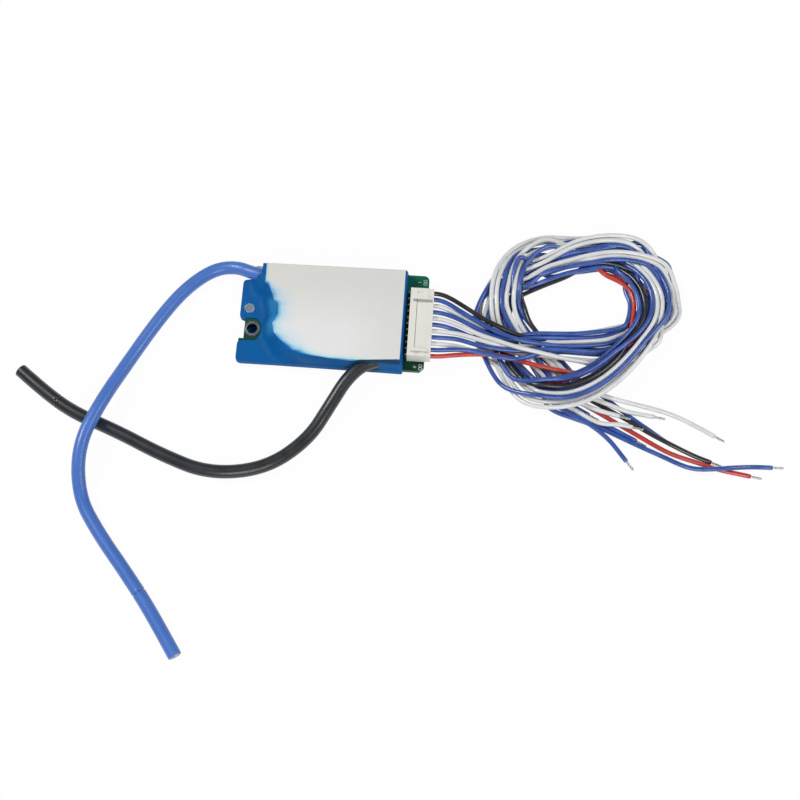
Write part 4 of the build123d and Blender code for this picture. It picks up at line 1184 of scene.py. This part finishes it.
class BOARD_OT_metals(bpy.types.Operator):
    """Finishes the eyelet, the rivet, the tab, the solder and the parts under the film"""
    bl_idname = "board.metals"
    bl_label = "Metal and hidden parts"

    def execute(self, context):
        dress_node("mounting_eyelet", eyelet_finish(axis_of("mounting_eyelet")))
        middle = axis_of("serrated_rivet")
        dress_node("serrated_rivet", rivet_finish(middle))
        bright = Finish("rivet_teeth", (0.6, 0.64, 0.68), 0.4, metallic=0.3)
        bright.roughen(900.0, 0.34, 0.5, 2.0)
        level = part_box("serrated_rivet")[1][2] / MM - 0.02
        rays = [np.array((np.cos(t), np.sin(t))) for t in np.arange(14) * FULL_TURN / 14]
        ends = [[(*(np.array(middle) / MM + ray * reach), level) for reach in (1.26, 1.54)] for ray in rays]
        bars_piece("rivet_serrations", [(*pair, 0.24, 0.16) for pair in ends], bright, "rivet_metal")
        tinned = Finish("tinned_metal", (0.5, 0.5, 0.51), 0.36, metallic=1.0)
        tinned.roughen(700.0, 0.26, 0.5)
        for node in ("terminal_tab", "transistor_leads", "chip_pins", "header_pins", "crimp_terminals"):
            dress_node(node, tinned)
        solder = Finish("solder_metal", (0.62, 0.62, 0.64), 0.22, metallic=1.0)
        solder.bump(solder.noise(900.0), 0.00006)
        for node in ("blue_cable_solder", "black_cable_solder", "header_pin_solder"):
            dress_node(node, solder)
        for node, (name, colour, rough, metal) in HIDDEN_PARTS.items():
            f = Finish(name, colour, rough, metallic=metal)
            f.roughen(600.0, rough - 0.08, rough + 0.12)
            dress_node(node, f.bump(f.noise(1400.0, 2.0), 0.00003))
        return {"FINISHED"}


def floor_finish():
    """Pale floor that glows white to the camera, in reflections and through clear things."""
    f = Finish("pale_floor", (0.9, 0.9, 0.9), 0.9, specular_ior_level=0.0)
    paths = f.nodes.new("ShaderNodeLightPath")
    seen, shine, through = (Shade(f, paths.outputs[name])
                            for name in ("Is Camera Ray", "Is Glossy Ray", "Is Transmission Ray"))
    total = f.maths("MAXIMUM", f.maths("MAXIMUM", seen, shine), through)
    glow = f.node("ShaderNodeEmission", {}, {"Color": (1.0, 1.0, 1.0)})
    f.links.new(f.node("ShaderNodeMixShader", {}, {
        0: total * FLOOR_GLOW, 1: Shade(f, f.surface.outputs[0]), 2: glow}).socket, f.out.inputs[0])
    return f


def white_surroundings():
    """A world that lights softly and looks white to the camera."""
    world = bpy.data.worlds.new("surroundings")
    world.use_nodes = True
    nodes, links = world.node_tree.nodes, world.node_tree.links
    nodes.clear()
    out, pick = nodes.new("ShaderNodeOutputWorld"), nodes.new("ShaderNodeMixShader")
    links.new(nodes.new("ShaderNodeLightPath").outputs["Is Camera Ray"], pick.inputs[0])
    for socket, strength in ((1, WORLD_LIGHT), (2, 1.0)):
        white = nodes.new("ShaderNodeBackground")
        white.inputs[0].default_value = (1, 1, 1, 1)
        white.inputs[1].default_value = strength
        links.new(white.outputs[0], pick.inputs[socket])
    links.new(pick.outputs[0], out.inputs[0])
    return world


# The stage: floor's reach and depth in millimetres, its glow, the world's light, and the lamps
# with their places and widths in metres and their power in watts.
FLOOR_REACH = 1600.0
FLOOR_DEPTH = -0.02
FLOOR_GLOW = 0.96
WORLD_LIGHT = 0.24
LAMPS = (
    ("key_lamp", (-0.5, 0.16, 0.6), 0.24, 3.3),
    ("fill_lamp", (0.55, 0.0, 0.5), 0.3, 1.5),
    ("front_lamp", (0.1, -0.65, 0.5), 0.4, 2.7),
)


class BOARD_OT_stage(bpy.types.Operator):
    """Sets the pale floor, the white surroundings and the soft lamps"""
    bl_idname = "board.stage"
    bl_label = "Stage"

    def execute(self, context):
        x, y = np.meshgrid((-FLOOR_REACH, FLOOR_REACH), (-FLOOR_REACH, FLOOR_REACH))
        points = np.stack([x, y, np.full_like(x, FLOOR_DEPTH)], -1).reshape(-1, 3)
        make_piece("floor", points, grid_faces(2, 2), floor_finish(), smooth=False)
        context.scene.world = white_surroundings()
        for name, place, width, power in LAMPS:
            data = bpy.data.lights.new(name, "AREA")
            data.shape = "SQUARE"
            data.size = width
            data.energy = power
            lamp = bpy.data.objects.new(name, data)
            lamp.location = place
            x, y, z = place
            lamp.rotation_euler = (float(np.arctan2(np.hypot(x, y), z)), 0.0,
                                   float(np.arctan2(-y, -x) - np.pi / 2))
            context.scene.collection.objects.link(lamp)
        context.scene.view_settings.view_transform = "Standard"
        return {"FINISHED"}


class BOARD_PT_tools(bpy.types.Panel):
    """Lists the steps that build the board"""
    bl_idname = "BOARD_PT_tools"
    bl_label = "Battery management board"
    bl_space_type = "VIEW_3D"
    bl_region_type = "UI"
    bl_category = "Board"

    def draw(self, context):
        for kind in STEPS:
            self.layout.operator(kind.bl_idname)
        for group in (context.scene.board_sizes, context.scene.board_colours):
            for key in group.bl_rna.properties.keys():
                if key not in ("rna_type", "name"):
                    self.layout.prop(group, key)


STEPS = (
    BOARD_OT_camera,
    BOARD_OT_sense_wires,
    BOARD_OT_power_cables,
    BOARD_OT_film,
    BOARD_OT_panel,
    BOARD_OT_board,
    BOARD_OT_header,
    BOARD_OT_marks,
    BOARD_OT_metals,
    BOARD_OT_stage,
)
CLASSES = (WireSizes, BoardColours) + STEPS + (BOARD_PT_tools,)


def register():
    for kind in CLASSES:
        bpy.utils.register_class(kind)
    bpy.types.Scene.board_sizes = bpy.props.PointerProperty(type=WireSizes)
    bpy.types.Scene.board_colours = bpy.props.PointerProperty(type=BoardColours)


def unregister():
    del bpy.types.Scene.board_colours
    del bpy.types.Scene.board_sizes
    for kind in reversed(CLASSES):
        bpy.utils.unregister_class(kind)


def main():
    register()
    for kind in STEPS:
        group, name = kind.bl_idname.split(".")
        getattr(getattr(bpy.ops, group), name)()


if __name__ == "__main__":
    main()
